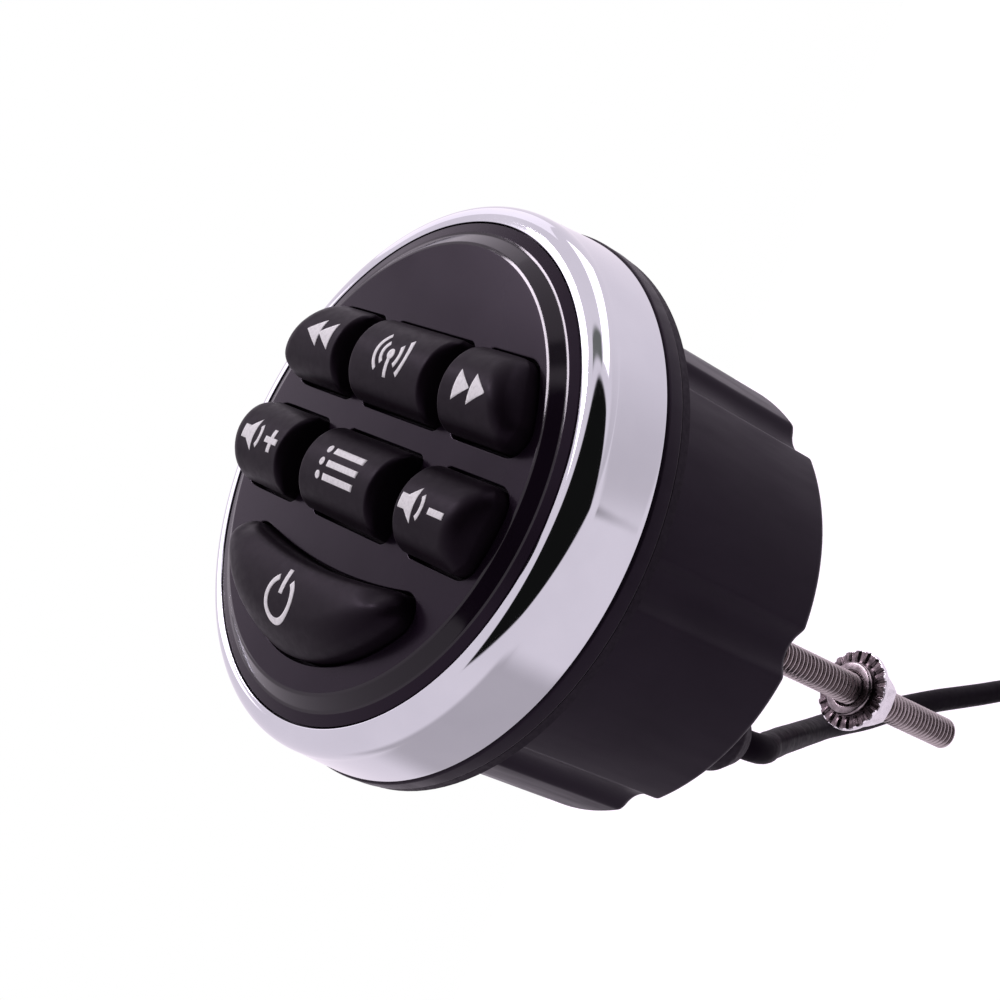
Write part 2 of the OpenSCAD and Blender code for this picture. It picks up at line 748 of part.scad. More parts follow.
// Crimped plug under the socket
module lead_plug() {
  color(socket_white) translate([socket_x - socket_l / 2, socket_y - socket_w / 2, lead_plug_z])
    cube([socket_l, socket_w, lead_plug_h]);
}

// One inner lead: from the end of the jacket to its contact, in a smooth bend
function lead_path(i) =
  let (
    turn = LEAD_TURNS[i],
    low = [gland_x, gland_y, tail_z] + (cable_r - lead_d / 2 - press_gap) * [cos(turn), sin(turn), 0],
    high = [socket_x + (i - (lead_count - 1) / 2) * contact_pitch, socket_y, lead_plug_z]
  )
  [
    for (k = [0 : lead_rings])
      let (t = k / lead_rings, s = ease((k - 1) / (lead_rings - 2)))
        [low[0] + (high[0] - low[0]) * s, low[1] + (high[1] - low[1]) * s, low[2] + (high[2] - low[2]) * t]
  ];

// Four leads from the cable to the plug
module inner_leads() {
  color(lead_red) for (i = [0 : lead_count - 1])
    tube(lead_path(i), lead_d / 2, coil_sides, [0, 1, 0]);
}

// Brass insert moulded into the back wall
module stud_insert() {
  color(brass_gold) difference() {
    translate([0, 0, back_z]) cylinder(d = insert_d, h = insert_len);
    translate([0, 0, back_z - over]) cylinder(r = stud_r + press_gap, h = stud_depth + press_gap + over);
  }
}

// Threaded stud, drawn at the thread's outside diameter
module mounting_stud() {
  lead_in = 0.5;
  color(plain_steel) union() {
    translate([0, 0, stud_end_z + lead_in]) cylinder(r = stud_r, h = stud_len + stud_depth - lead_in);
    translate([0, 0, stud_end_z]) cylinder(r1 = stud_r - lead_in, r2 = stud_r, h = lead_in);
  }
}

// Serrated washer: its teeth face the console
module lock_washer() {
  color(plain_steel) difference() {
    flat_ring(washer_d / 2, washer_bore_r, washer_z - washer_t, washer_z);
    for (i = [0 : washer_teeth - 1])
      rotate([0, 0, full_turn * i / washer_teeth])
        translate([nut_collar_r + nut_lip + run_gap, -tooth_gap / 2, washer_z - tooth_depth])
          cube([washer_d / 2, tooth_gap, tooth_depth + over]);
  }
}

// Hexagon nut whose collar passes through the washer and is rolled over it
module clamp_nut() {
  corner_r = nut_af / 2 / cos(half_turn / 6);
  color(plain_steel) difference() {
    union() {
      intersection() {
        translate([0, 0, nut_z - nut_h]) cylinder(r = corner_r, h = nut_h, $fn = 6);
        translate([0, 0, nut_z - nut_h])
          cylinder(r1 = corner_r - nut_chamfer, r2 = corner_r + nut_h, h = nut_h);
      }
      translate([0, 0, nut_z]) cylinder(r = nut_collar_r, h = washer_t + 2 * run_gap);
      translate([0, 0, washer_z + run_gap]) cylinder(r = nut_collar_r + nut_lip, h = nut_lip_h);
    }
    translate([0, 0, nut_z - nut_h - over])
      cylinder(r = nut_bore_r, h = nut_h + washer_t + nut_lip_h + 3 * over);
  }
}

// Rubber gland: tapered end outside, neck in the wall and a flange inside
module cable_gland() {
  straight = gland_len / 2;
  color(soft_black) translate([gland_x, gland_y, 0]) difference() {
    union() {
      translate([0, 0, back_z - straight]) cylinder(d = gland_d, h = straight);
      translate([0, 0, gland_end_z]) cylinder(d1 = gland_end_d, d2 = gland_d, h = gland_len - straight);
      translate([0, 0, back_z]) cylinder(d = gland_neck_d, h = back_wall);
      translate([0, 0, floor_z]) cylinder(d = gland_neck_d + 2 * gland_lip, h = gland_lock_t);
    }
    translate([0, 0, gland_end_z - over])
      cylinder(r = gland_bore_r, h = gland_len + back_wall + gland_lock_t + 2 * over);
  }
}
// Jacketed end of the cable through the gland
module cable_tail() {
  color(soft_black) translate([gland_x, gland_y, gland_end_z])
    cylinder(r = cable_r, h = tail_z - gland_end_z);
}

// The cable's free stretch, from the gland to the coil
module cable_lead() {
  color(soft_black) tube(LEAD, cable_r, route_sides, [1, 0.2, 0]);
}

// The put-away length, as one unbroken tube
module cable_coil() {
  color(soft_black) tube(COIL, cable_r, coil_sides, [1, 0, 0]);
}

// Strap round the coil's bundle of turns
module coil_tie() {
  wide = coil_pitch * coil_sweep / 2 / full_turn + cable_d + 2 * fit_gap;
  deep = coil_pitch + cable_d + 2 * fit_gap;
  mid_r = coil_r - coil_pitch * coil_sweep / 4 / full_turn;
  color(tie_grey) translate(coil_c) rotate([tie_angle, 0, 0]) translate([coil_pitch / 2, -mid_r, -tie_w / 2])
    difference() {
      translate([-deep / 2 - tie_t, -wide / 2 - tie_t, 0]) cube([deep + 2 * tie_t, wide + 2 * tie_t, tie_w]);
      translate([-deep / 2, -wide / 2, -over]) cube([deep, wide, tie_w + 2 * over]);
    }
}

// Tapered boot where the cable enters the plug
module plug_boot() {
  color(soft_black) translate([plug_x, plug_y, boot_z])
    cylinder(d1 = plug_d - 2 * fit_gap, d2 = cable_d + 2 * boot_wall, h = boot_len);
}

// Body of the plug
module plug_body() {
  color(soft_black) translate([plug_x, plug_y, plug_z]) cylinder(d = plug_d, h = plug_len);
}

// Contact pin with a pointed end, necked where the insulating bands sit
pin_tip = 2.2;
band_first = 3.2;
band_pitch = 3;
band_depth = 0.3;
module plug_pin() {
  color(plain_steel) translate([plug_x, plug_y, plug_z]) difference() {
    union() {
      translate([0, 0, pin_tip - pin_len]) cylinder(d = pin_d, h = pin_len - pin_tip);
      translate([0, 0, -pin_len]) cylinder(d1 = pin_d / 3, d2 = pin_d, h = pin_tip);
    }
    for (i = [0 : 2]) flat_ring(
      pin_d, pin_d / 2 - band_depth, pin_tip - pin_len + band_first - band_len + i * band_pitch,
      pin_tip - pin_len + band_first + i * band_pitch
    );
  }
}

// Insulating bands in the pin's necks
module plug_bands() {
  color(carbon_black) translate([plug_x, plug_y, plug_z]) for (i = [0 : 2]) flat_ring(
    pin_d / 2, pin_d / 2 - band_depth + press_gap, pin_tip - pin_len + band_first - band_len + i * band_pitch,
    pin_tip - pin_len + band_first + i * band_pitch
  );
}

housing();
rim_gasket();
bezel_ring();
face_panel();
face_seal();
keypad_mat();
key_previous();
key_band();
key_next();
key_volume_up();
key_mode();
key_volume_down();
key_power();
pill_previous();
pill_band();
pill_next();
pill_volume_up();
pill_mode();
pill_volume_down();
pill_power();
circuit_board();
contact_pads();
controller_chip();
board_parts();
board_screws();
board_socket();
lead_plug();
inner_leads();
stud_insert();
mounting_stud();
lock_washer();
clamp_nut();
cable_gland();
cable_tail();
cable_lead();
cable_coil();
coil_tie();
plug_boot();
plug_body();
plug_pin();
plug_bands();
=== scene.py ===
# %% [markdown]
# # The round control head of a boat's stereo
#
# The real object drops into a hole in a boat's console, like a gauge. A bright ring clamps a black face
# with seven rubber keys. Behind it, a grooved cup goes through the hole, and a nut on a long stud pulls
# the rim tight. A thin cable leaves the back and ends in a plug.
#
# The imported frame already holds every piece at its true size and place. This lesson dresses it: it reads
# sizes from the frame, works out finer surfaces with numpy, and gives each surface a finish made of
# shader nodes.

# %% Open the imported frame
import math

import bmesh
import bpy
import numpy as np
from mathutils import Matrix, Vector
from mathutils.geometry import delaunay_2d_cdt


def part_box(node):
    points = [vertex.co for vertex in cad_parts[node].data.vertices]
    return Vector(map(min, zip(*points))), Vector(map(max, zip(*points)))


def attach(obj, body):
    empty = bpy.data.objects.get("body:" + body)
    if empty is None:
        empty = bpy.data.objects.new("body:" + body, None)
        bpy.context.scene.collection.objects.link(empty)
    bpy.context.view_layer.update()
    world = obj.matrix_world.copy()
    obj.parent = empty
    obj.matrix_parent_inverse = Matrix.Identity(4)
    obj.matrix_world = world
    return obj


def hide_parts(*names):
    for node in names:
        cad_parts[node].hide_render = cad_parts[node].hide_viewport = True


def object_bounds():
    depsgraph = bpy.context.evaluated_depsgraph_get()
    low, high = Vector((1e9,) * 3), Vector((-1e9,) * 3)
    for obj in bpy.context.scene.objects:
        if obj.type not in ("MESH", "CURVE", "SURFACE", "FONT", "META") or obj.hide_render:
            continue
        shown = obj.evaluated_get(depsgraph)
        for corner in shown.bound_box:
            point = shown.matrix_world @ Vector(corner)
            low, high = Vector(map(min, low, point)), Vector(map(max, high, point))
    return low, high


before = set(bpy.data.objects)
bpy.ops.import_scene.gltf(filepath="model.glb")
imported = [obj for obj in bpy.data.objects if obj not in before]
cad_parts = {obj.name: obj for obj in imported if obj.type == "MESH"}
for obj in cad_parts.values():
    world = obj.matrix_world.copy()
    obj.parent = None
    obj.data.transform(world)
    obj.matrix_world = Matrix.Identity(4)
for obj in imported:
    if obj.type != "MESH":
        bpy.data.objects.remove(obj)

scene = bpy.context.scene
cad_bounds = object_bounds()
MM = 0.001
TURN = 2 * math.pi

# %% [markdown]
# ## The camera
#
# The camera stands where the photographer stood: in front of the face, to its right, and a little rolled.
# Its place and its two picture axes were found by matching the ring's ellipses, and the lens by matching
# their taper. A matrix built from the axes is simpler here than Euler angles, because the object's own up
# is the axis of the face.

# %% Set the camera
CAMERA_PLACE = Vector((164.9, -5.1, 121.0)) * MM
PICTURE_RIGHT = Vector((0.5588, 0.4140, -0.7186)).normalized()
PICTURE_UP = Vector((-0.2240, 0.9096, 0.3499)).normalized()
TOWARDS_CAMERA = PICTURE_RIGHT.cross(PICTURE_UP)
LENS_MM = 71.15

camera = bpy.data.objects.new("camera", bpy.data.cameras.new("camera"))
camera.data.sensor_width = 36
camera.data.lens = LENS_MM
camera.data.clip_start = 0.01
axes = Matrix((PICTURE_RIGHT, PICTURE_UP, TOWARDS_CAMERA)).transposed()
camera.matrix_world = Matrix.Translation(CAMERA_PLACE) @ axes.to_4x4()
scene.collection.objects.link(camera)
scene.camera = camera
scene.view_settings.view_transform = "Standard"
print("camera at", [round(x / MM, 1) for x in CAMERA_PLACE], "mm, lens", LENS_MM, "mm")

# %% [markdown]
# ## From arrays to pieces
#
# Nearly every surface here is a grid of points: rows along a profile and columns round the centre line,
# or round a path. So a few small helpers carry the lesson. One numbers the quads of a grid, one joins
# grids, and one turns the result into a mesh object that rides on its body. Welding the doubles closes
# seams and poles.

# %% Helpers for grids
def corners(node):
    """Lowest and highest corner of a CAD node, in millimetres."""
    low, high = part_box(node)
    return np.array(low) / MM, np.array(high) / MM


def angles(count):
    """Even angles round one turn, from 0."""
    return TURN * np.arange(count) / count


def unit(angle):
    """Unit vectors in the plane at each angle: (cos a, sin a)."""
    return np.stack([np.cos(angle), np.sin(angle)], axis=-1)


def normalised(vectors):
    """Vectors over their own length."""
    return vectors / np.linalg.norm(vectors, axis=-1, keepdims=True)


def surface(grid, wrap_rows=False, wrap_columns=False):
    """Points and quads of a grid of points. Quad (i, k) joins points (i, k), (i, k+1), (i+1, k+1) and
    (i+1, k), and a wrapped side runs on to the first row or column."""
    rows, columns = grid.shape[:2]
    i, k = np.meshgrid(
        np.arange(rows if wrap_rows else rows - 1),
        np.arange(columns if wrap_columns else columns - 1),
        indexing="ij",
    )
    below, beside = (i + 1) % rows, (k + 1) % columns
    here, under = i * columns, below * columns
    quads = np.stack([here + k, here + beside, under + beside, under + k], axis=-1)
    return grid.reshape(-1, 3), quads.reshape(-1, 4)


def join(*parts):
    """Several surfaces as one: their points in a row, and each one's faces renumbered to suit."""
    starts = np.cumsum([0] + [len(points) for points, _ in parts])
    faces = [face for (_, part), s in zip(parts, starts) for face in (np.asarray(part) + s).tolist()]
    return np.concatenate([points for points, _ in parts]), faces


print("a grid of 3 by 4 points has", len(surface(np.zeros((3, 4, 3)))[1]), "quads")

# %% Helpers for pieces
WELD = 0.000002


def make_piece(name, shape, finish, body="head", nodes=(), sharp=35, closed=True):
    """A mesh object from points in millimetres and faces: doubles welded, closed shapes turned outwards,
    shaded smooth up to the sharp angle, riding on its body in place of the named nodes."""
    points, faces = shape
    mesh = bpy.data.meshes.new(name)
    mesh.from_pydata((points * MM).tolist(), [], list(faces))
    work = bmesh.new()
    work.from_mesh(mesh)
    bmesh.ops.remove_doubles(work, verts=work.verts, dist=WELD)
    if closed:
        bmesh.ops.recalc_face_normals(work, faces=work.faces)
    work.to_mesh(mesh)
    work.free()
    mesh.polygons.foreach_set("use_smooth", np.ones(len(mesh.polygons), dtype=bool))
    mesh.set_sharp_from_angle(angle=math.radians(sharp))
    mesh.materials.append(finish)
    piece = bpy.data.objects.new(name, mesh)
    scene.collection.objects.link(piece)
    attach(piece, body)
    if nodes:
        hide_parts(*nodes)
    print(f"{name}: {len(mesh.polygons)} faces on {body}")
    return piece


def dress(finish, *nodes):
    """Give CAD nodes that keep their own shape a finish."""
    for name in nodes:
        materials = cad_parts[name].data.materials
        materials.clear()
        materials.append(finish)
    print(finish.name, "on", ", ".join(nodes))


print("points closer than", WELD / MM, "mm are welded")

# %% [markdown]
# ## Finishes from nodes
#
# A finish starts as one Principled shader with its plain values on its own sockets. Patterns are then
# laid over it: a noise on Object coordinates, in cells of real size, that shades the colour, changes the
# roughness or raises a fine grain. Object coordinates need no unwrapping, and they stay put when the part
# is turned or moved.

# %% A plain finish
GLOSS_TINT = (0.90, 0.69, 1.0, 1)


def new_finish(name, colour, rough, metal=0.0, gloss=None, **plain):
    """A material of one Principled shader. Gloss is the level of a reflection with a violet tint, and
    extra plain values are given by socket name, with _ for spaces."""
    finish = bpy.data.materials.new(name)
    finish.use_nodes = True
    finish.diffuse_color = (*colour, 1)
    shader = finish.node_tree.nodes["Principled BSDF"]
    shader.inputs["Base Color"].default_value = (*colour, 1)
    shader.inputs["Roughness"].default_value = rough
    shader.inputs["Metallic"].default_value = metal
    if gloss is not None:
        plain |= {"Specular_IOR_Level": gloss, "Specular_Tint": GLOSS_TINT}
    for socket, value in plain.items():
        shader.inputs[socket.replace("_", " ")].default_value = value
    return finish


print("dark plastics reflect in the tint", GLOSS_TINT[:3])

# %% Patterns on a finish
def add(tree, kind, *ordered, **named):
    """Add a shader node to a tree. Its inputs are given in order or by name, with _ for spaces: a socket
    is linked, and anything else is set as a plain value."""
    node = tree.nodes.new("ShaderNode" + kind)
    for key, value in [*enumerate(ordered), *named.items()]:
        socket = node.inputs[key.replace("_", " ") if key in named else key]
        if isinstance(value, bpy.types.NodeSocket):
            tree.links.new(value, socket)
        else:
            socket.default_value = value
    return node


def lay_on(finish, socket, name):
    """Lead a socket into the named input of a finish's shader."""
    finish.node_tree.links.new(socket, finish.node_tree.nodes["Principled BSDF"].inputs[name])


def noise(finish, cell, detail=3, stretch=(1, 1, 1)):
    """A noise pattern with cells of a size in millimetres, stretched by a factor along each axis."""
    tree = finish.node_tree
    place = add(tree, "TexCoord").outputs["Object"]
    size = add(tree, "Mapping", Vector=place, Scale=[1 / s for s in stretch])
    cells = add(tree, "TexNoise", Vector=size.outputs["Vector"], Scale=1 / (cell * MM), Detail=detail)
    return cells.outputs["Fac"]


def shade_by(finish, pattern, dark, light, low, high):
    """Colour that runs from dark to light as a pattern rises from low to high."""
    ramp = add(finish.node_tree, "ValToRGB", pattern)
    for stop, place, colour in zip(ramp.color_ramp.elements, (low, high), (dark, light)):
        stop.position, stop.color = place, (*colour, 1)
    lay_on(finish, ramp.outputs["Color"], "Base Color")


def shade(finish, cell, dark, light, low=0.35, high=0.65, **kind):
    """Colour that runs from dark to light with a noise of the given cell size."""
    shade_by(finish, noise(finish, cell, **kind), dark, light, low, high)


def roughen(finish, cell, smooth, coarse, low=0.3, high=0.7, **kind):
    """Roughness that runs from smooth to coarse as a noise rises from low to high."""
    span = add(finish.node_tree, "MapRange", Value=noise(finish, cell, **kind), From_Min=low, From_Max=high,
               To_Min=smooth, To_Max=coarse)
    lay_on(finish, span.outputs["Result"], "Roughness")


def grain(finish, cell, depth, detail=2, **kind):
    """Bump of the given depth in millimetres. A second grain is laid over the first."""
    tree = finish.node_tree
    normal = tree.nodes["Principled BSDF"].inputs["Normal"]
    bump = add(tree, "Bump", Strength=1, Distance=depth * MM, Height=noise(finish, cell, detail, **kind))
    if normal.is_linked:
        tree.links.new(normal.links[0].from_socket, bump.inputs["Normal"])
    lay_on(finish, bump.outputs["Normal"], "Normal")


print("patterns: shade, roughen and grain")

# %% [markdown]
# ## The cable
#
# The cable is a soft round lead, 3.3 mm thick. It leaves the gland straight, turns towards the stud and
# runs past it behind the nut. The length that isn't seen is wound into a flat coil of two layers, with a
# tie. The points of the free stretch are listed, and the coil's turns follow a formula. A
# Catmull-Rom curve through the points gives one smooth line.

# %% Route of the cable
CABLE_D = 3.3
gland_low, gland_high = corners("cable_gland")
gland_x, gland_y = (gland_low + gland_high)[:2] / 2
gland_end_z = gland_low[2]

# Free stretch, with its height measured from the gland's end
ROUTE = [
    (gland_x, gland_y, 0), (gland_x, gland_y, -1.3), (gland_x - 0.2, gland_y + 0.04, -3.4),
    (gland_x - 0.85, gland_y + 0.15, -5.5), (gland_x - 2.1, gland_y + 0.35, -7.6), (12.6, -10.05, -10.3),
    (9.9, -9.6, -14), (6.9, -9.1, -18), (3.5, -8.55, -22.7), (0.1, -8, -27.4), (-3.1, -7.35, -32),
    (-6.2, -6.6, -36.7), (-9.2, -5.5, -41.8), (-12, -4.1, -47.7), (-14.8, -2.2, -54.7), (-17.4, 0.2, -61.7),
    (-19.8, 2.4, -68.7), (-22, 4.6, -75.7), (-24.2, 6.6, -82.7), (-26.4, 8.6, -89.7), (-28.6, 10.6, -96.5),
    (-30.4, 12.4, -102.7), (-31, 13.6, -107.5), (-31, 12.9, -111.6), (-31, 10.8, -115.2),
]
COIL_CENTRE = np.array([-31, 14.5, gland_end_z - 138.7])
COIL_R = 21.5
COIL_GAP = 0.5
COIL_START = 60
COIL_TURNS = 4
COIL_TAIL = 10
coil_pitch = CABLE_D + COIL_GAP
coil_sweep = COIL_START + 360 * COIL_TURNS
print("route:", len(ROUTE), "points by hand, then", coil_sweep, "degrees of coil")

# %% The cable's line
COIL_RINGS = 48
FREE_RINGS = 16


def ease(t):
    """A smooth change from 0 to 1: 3t^2 - 2t^3 between 0 and 1."""
    t = np.clip(t, 0, 1)
    return t * t * (3 - 2 * t)


def coil_line(turned):
    """Place on the coil after turning by an angle in degrees: a spiral that runs in by one pitch a turn
    on the first layer, steps over to the second halfway, and runs out again."""
    half = coil_sweep / 2
    r = COIL_R - coil_pitch * (half - np.abs(turned - half)) / 360
    layer = coil_pitch * ease((turned - half + 90) / 180)
    t = np.radians(COIL_START - turned)
    return COIL_CENTRE + np.stack([layer, -r * np.cos(t), r * np.sin(t)], axis=-1)


def smooth_line(points, steps):
    """Catmull-Rom curve through the inner points: between two of them, the cubic whose end slopes come
    from the neighbours, weighted by the root of their distances."""
    before, start, end, after = points[:-3], points[1:-2], points[2:-1], points[3:]
    d0 = np.sqrt(np.linalg.norm(start - before, axis=1))[:, None]
    d1 = np.sqrt(np.linalg.norm(end - start, axis=1))[:, None]
    d2 = np.sqrt(np.linalg.norm(after - end, axis=1))[:, None]
    leave = end - start + d1 * ((start - before) / d0 - (end - before) / (d0 + d1))
    arrive = end - start + d1 * ((after - end) / d2 - (after - start) / (d1 + d2))
    t = (np.arange(steps) / steps)[None, :, None]
    curve = (
        (2 * t**3 - 3 * t**2 + 1) * start[:, None] + (t**3 - 2 * t**2 + t) * leave[:, None]
        + (3 * t**2 - 2 * t**3) * end[:, None] + (t**3 - t**2) * arrive[:, None]
    )
    return curve.reshape(-1, 3)


turns = coil_line(np.linspace(0, coil_sweep, COIL_RINGS * coil_sweep // 360 + 1))
start = math.radians(COIL_START)
run_in = CABLE_D * np.array([0, -math.sin(start), -math.cos(start)])
free = np.array(ROUTE, dtype=float) + [0, 0, gland_end_z]
# Points inside the gland and along the coil's first tangent give the curve its slopes at both ends
hand_points = np.concatenate([
    [free[0] + [0, 0, 3.0]], free, [turns[0] - 1.35 * run_in, turns[0] - run_in, turns[0], turns[1]],
])
tail = turns[-1] - np.outer(np.arange(1, 7) / 6, [0, 0, COIL_TAIL])
cable_line = np.concatenate([smooth_line(hand_points, FREE_RINGS), turns, tail])

# %% [markdown]
# A ring of points round each place on the line, square to it, makes the tube. One fixed hint vector,
# never along the line, keeps the rings from twisting, which is all that a round cable needs. The jacket
# is soft black plastic with a slightly violet sheen and a fine grain.

# %% Make the cable
CABLE_SIDES = 24
SIDE_HINT = (1, 0.2, 0)


def tube(line, radius, sides, hint):
    """A round tube: a ring at each point of the line, square to it, and both ends closed to a point."""
    along = normalised(np.gradient(line, axis=0))
    side = normalised(np.cross(along, hint))
    other = np.cross(along, side)
    turn = angles(sides)[None, :, None]
    rings = line[:, None] + radius * (np.cos(turn) * side[:, None] + np.sin(turn) * other[:, None])
    first, last = np.repeat(line[:1], sides, axis=0), np.repeat(line[-1:], sides, axis=0)
    return surface(np.concatenate([first[None], rings, last[None]]), wrap_columns=True)


cable_jacket = new_finish("cable_jacket", (0.0056, 0.0037, 0.0066), 0.42, gloss=0.01)
shade(cable_jacket, 2.6, (0.0048, 0.0031, 0.0056), (0.0066, 0.0044, 0.0078))
roughen(cable_jacket, 0.9, 0.36, 0.48)
grain(cable_jacket, 0.16, 0.0015)

cable = make_piece(
    "cable", tube(cable_line, CABLE_D / 2, CABLE_SIDES, SIDE_HINT), cable_jacket,
    nodes=("cable_lead", "cable_coil"), sharp=60,
)
dress(cable_jacket, "cable_tail")

# %% [markdown]
# ## The tie on the coil
#
# The coil is held by a soft strap. A rounded rectangle is the strap's section, and it is carried round a
# larger rounded rectangle, which is the loop about the bundle of turns.

# %% Make the tie
TIE_W = 5.0
TIE_T = 0.9
TIE_ANGLE = math.radians(-112)
TIE_SLACK = 0.15
TIE_CORNER = 1.9
TIE_EDGE = 0.3


def rounded_rectangle(half_x, half_y, corner, steps=8):
    """Closed outline of a rectangle with round corners: a quarter circle at each corner, joined by its
    straights."""
    quarter = np.linspace(0, TURN / 4, steps)
    inner = np.array([half_x - corner, half_y - corner])
    return np.concatenate([
        inner * place + corner * unit(quarter + k * TURN / 4)
        for k, place in enumerate([(1, 1), (-1, 1), (-1, -1), (1, -1)])
    ])


def strap_loop(half_x, half_y, corner):
    """The strap's section carried round the loop: a point of the section at (t, w) goes t out from the
    loop's line, along its normal, and w along the coil."""
    loop = rounded_rectangle(half_x, half_y, corner, 10)
    along = normalised(np.roll(loop, -1, axis=0) - np.roll(loop, 1, axis=0))
    out = np.stack([along[:, 1], -along[:, 0]], axis=-1)
    section = rounded_rectangle(TIE_T / 2, TIE_W / 2, TIE_EDGE, 5)
    flat = loop[:, None] + section[None, :, :1] * out[:, None]
    width = np.broadcast_to(section[None, :, 1:], flat.shape[:2] + (1,))
    return np.concatenate([flat, width], axis=-1)


half_deep = (coil_pitch + CABLE_D) / 2 + TIE_SLACK + TIE_T / 2
half_wide = (coil_pitch * coil_sweep / 720 + CABLE_D) / 2 + TIE_SLACK + TIE_T / 2
bundle_r = COIL_R - coil_pitch * coil_sweep / 1440
loop = strap_loop(half_deep, half_wide, TIE_CORNER) + [coil_pitch / 2, -bundle_r, 0]
tilt = np.array([
    [1, 0, 0],
    [0, math.cos(TIE_ANGLE), -math.sin(TIE_ANGLE)],
    [0, math.sin(TIE_ANGLE), math.cos(TIE_ANGLE)],
])

tie_weave = new_finish("tie_weave", (0.030, 0.029, 0.032), 0.85, Sheen_Weight=0.4)
shade(tie_weave, 0.5, (0.020, 0.019, 0.022), (0.050, 0.048, 0.052))
grain(tie_weave, 0.22, 0.05)

tie = make_piece(
    "coil_tie_strap", surface(loop @ tilt.T + COIL_CENTRE, True, True), tie_weave,
    nodes=("coil_tie",), sharp=50,
)

# %% [markdown]
# ## Turned shapes and the plug
#
# Most other pieces are turned: an (r, z) line goes once round an axis. Real mouldings and turned parts
# have no knife edges, so the line's corners are rounded first. The plug has a ribbed boot that bends with
# the cable, a gripped body and a four-part contact pin. The dark bands between its contacts keep their
# CAD shape.

# %% Helpers for turned shapes
def rounded_line(points, steps=7):
    """An (r, z) line whose corners are rounded. Each point is (r, z) or (r, z, radius), and a corner with
    a radius becomes an arc that touches both of its sides."""
    line = np.array([p[:2] for p in points], dtype=float)
    radii = [p[2] if len(p) > 2 else 0 for p in points]
    out = [line[:1]]
    for k in range(1, len(line) - 1):
        if not radii[k]:
            out.append(line[k:k + 1])
            continue
        back, on = normalised(line[k - 1] - line[k]), normalised(line[k + 1] - line[k])
        half = math.acos(np.clip(back @ on, -1, 1)) / 2
        middle = line[k] + normalised(back + on) * radii[k] / math.sin(half)
        start = line[k] + back * radii[k] / math.tan(half) - middle
        end = line[k] + on * radii[k] / math.tan(half) - middle
        swing = math.atan2(start[0] * end[1] - start[1] * end[0], start @ end)
        a = math.atan2(start[1], start[0]) + swing * np.linspace(0, 1, steps)
        out.append(middle + radii[k] * unit(a))
    out.append(line[-1:])
    return np.concatenate(out)


def round_grid(r, z, columns, middle=(0, 0)):
    """Closed grid round an upright axis: x = r cos a, y = r sin a. Radius and height have a row for each
    ring, and one column or a column for each angle."""
    a = angles(columns)
    grid = np.broadcast_arrays(middle[0] + r * np.cos(a), middle[1] + r * np.sin(a), z)
    return surface(np.stack(grid, axis=-1), wrap_columns=True)


def turned(line, columns, middle=(0, 0)):
    """Turn an (r, z) line about an upright axis."""
    line = np.asarray(line, dtype=float)
    return round_grid(line[:, :1], line[:, 1:], columns, middle)


print("helpers for turned shapes ready")

# %% Lines of the plug
boot_low, boot_high = corners("plug_boot")
body_low, body_high = corners("plug_body")
pin_low, pin_high = corners("plug_pin")
plug_axis = (body_low + body_high)[:2] / 2
plug_r = (body_high - body_low)[0] / 2
pin_r = (pin_high - pin_low)[0] / 2
boot_r = (boot_high - boot_low)[0] / 2
BOOT_NECK_R = CABLE_D / 2 + 0.5
BOOT_RIBS = 6
RIB_DEPTH = 0.32
GRIP_HALF = 4.6
GRIP_PITCH = 1.6
GRIP_DEPTH = 0.28
END_LEN = 0.8

# The boot tapers from the plug to the cable, and its grooves follow the square of a sine
z = np.linspace(boot_low[2], boot_high[2], 145)
up = (z - z[0]) / (z[-1] - z[0])
grooves = RIB_DEPTH * np.sin(math.pi * BOOT_RIBS * up) ** 2 * ease(up * 8)
ribbed = boot_r + (BOOT_NECK_R - boot_r) * up - grooves
boot_line = np.concatenate([[(0, z[0])], np.stack([ribbed, z], axis=-1), [(0, z[-1])]])

# The body has round ends and five shallow grip rings
z = np.linspace(body_low[2] + END_LEN, body_high[2] - END_LEN, 181)
grip = np.clip(1 - ((z - z.mean()) / GRIP_HALF) ** 8, 0, 1)
ringed = plug_r - GRIP_DEPTH * grip * np.sin(math.pi * (z - z.mean()) / GRIP_PITCH) ** 2
body_line = np.concatenate([
    rounded_line([(0, body_low[2]), (plug_r, body_low[2], END_LEN), (plug_r, z[0])]),
    np.stack([ringed, z], axis=-1),
    rounded_line([(plug_r, z[-1]), (plug_r, body_high[2], 0.7), (0, body_high[2])]),
])

# The pin has a bulged tip, a waist, and three necks for its bands
PIN_TIP = 2.2
BAND_FIRST = 3.2
BAND_PITCH = 3.0
BAND_LEN = 0.7
BAND_DEPTH = 0.3
tip_z = pin_low[2] + PIN_TIP
necks = [
    (r, tip_z + BAND_FIRST + k * BAND_PITCH + dz)
    for k in range(3)
    for r, dz in ((pin_r, -BAND_LEN), (pin_r - BAND_DEPTH, -BAND_LEN), (pin_r - BAND_DEPTH, 0), (pin_r, 0))
]
pin_line = rounded_line(
    [(0, pin_low[2]), (pin_r / 3, pin_low[2], 0.25), (pin_r, tip_z, 0.5), (pin_r - 0.35, tip_z + 0.9, 0.4),
     (pin_r, tip_z + 1.7, 0.2)] + necks + [(pin_r, pin_high[2]), (0, pin_high[2])]
)
print("plug: rings of boot, body and pin", [len(line) for line in (boot_line, body_line, pin_line)])

# %% Make the plug
PLUG_COLUMNS = 64
PIN_COLUMNS = 48

moulded_black = new_finish("moulded_black", (0.008, 0.0068, 0.0086), 0.5, gloss=0.22)
shade(moulded_black, 3.0, (0.0064, 0.0054, 0.0070), (0.0104, 0.0090, 0.0112))
roughen(moulded_black, 0.6, 0.42, 0.58)
grain(moulded_black, 0.12, 0.006)

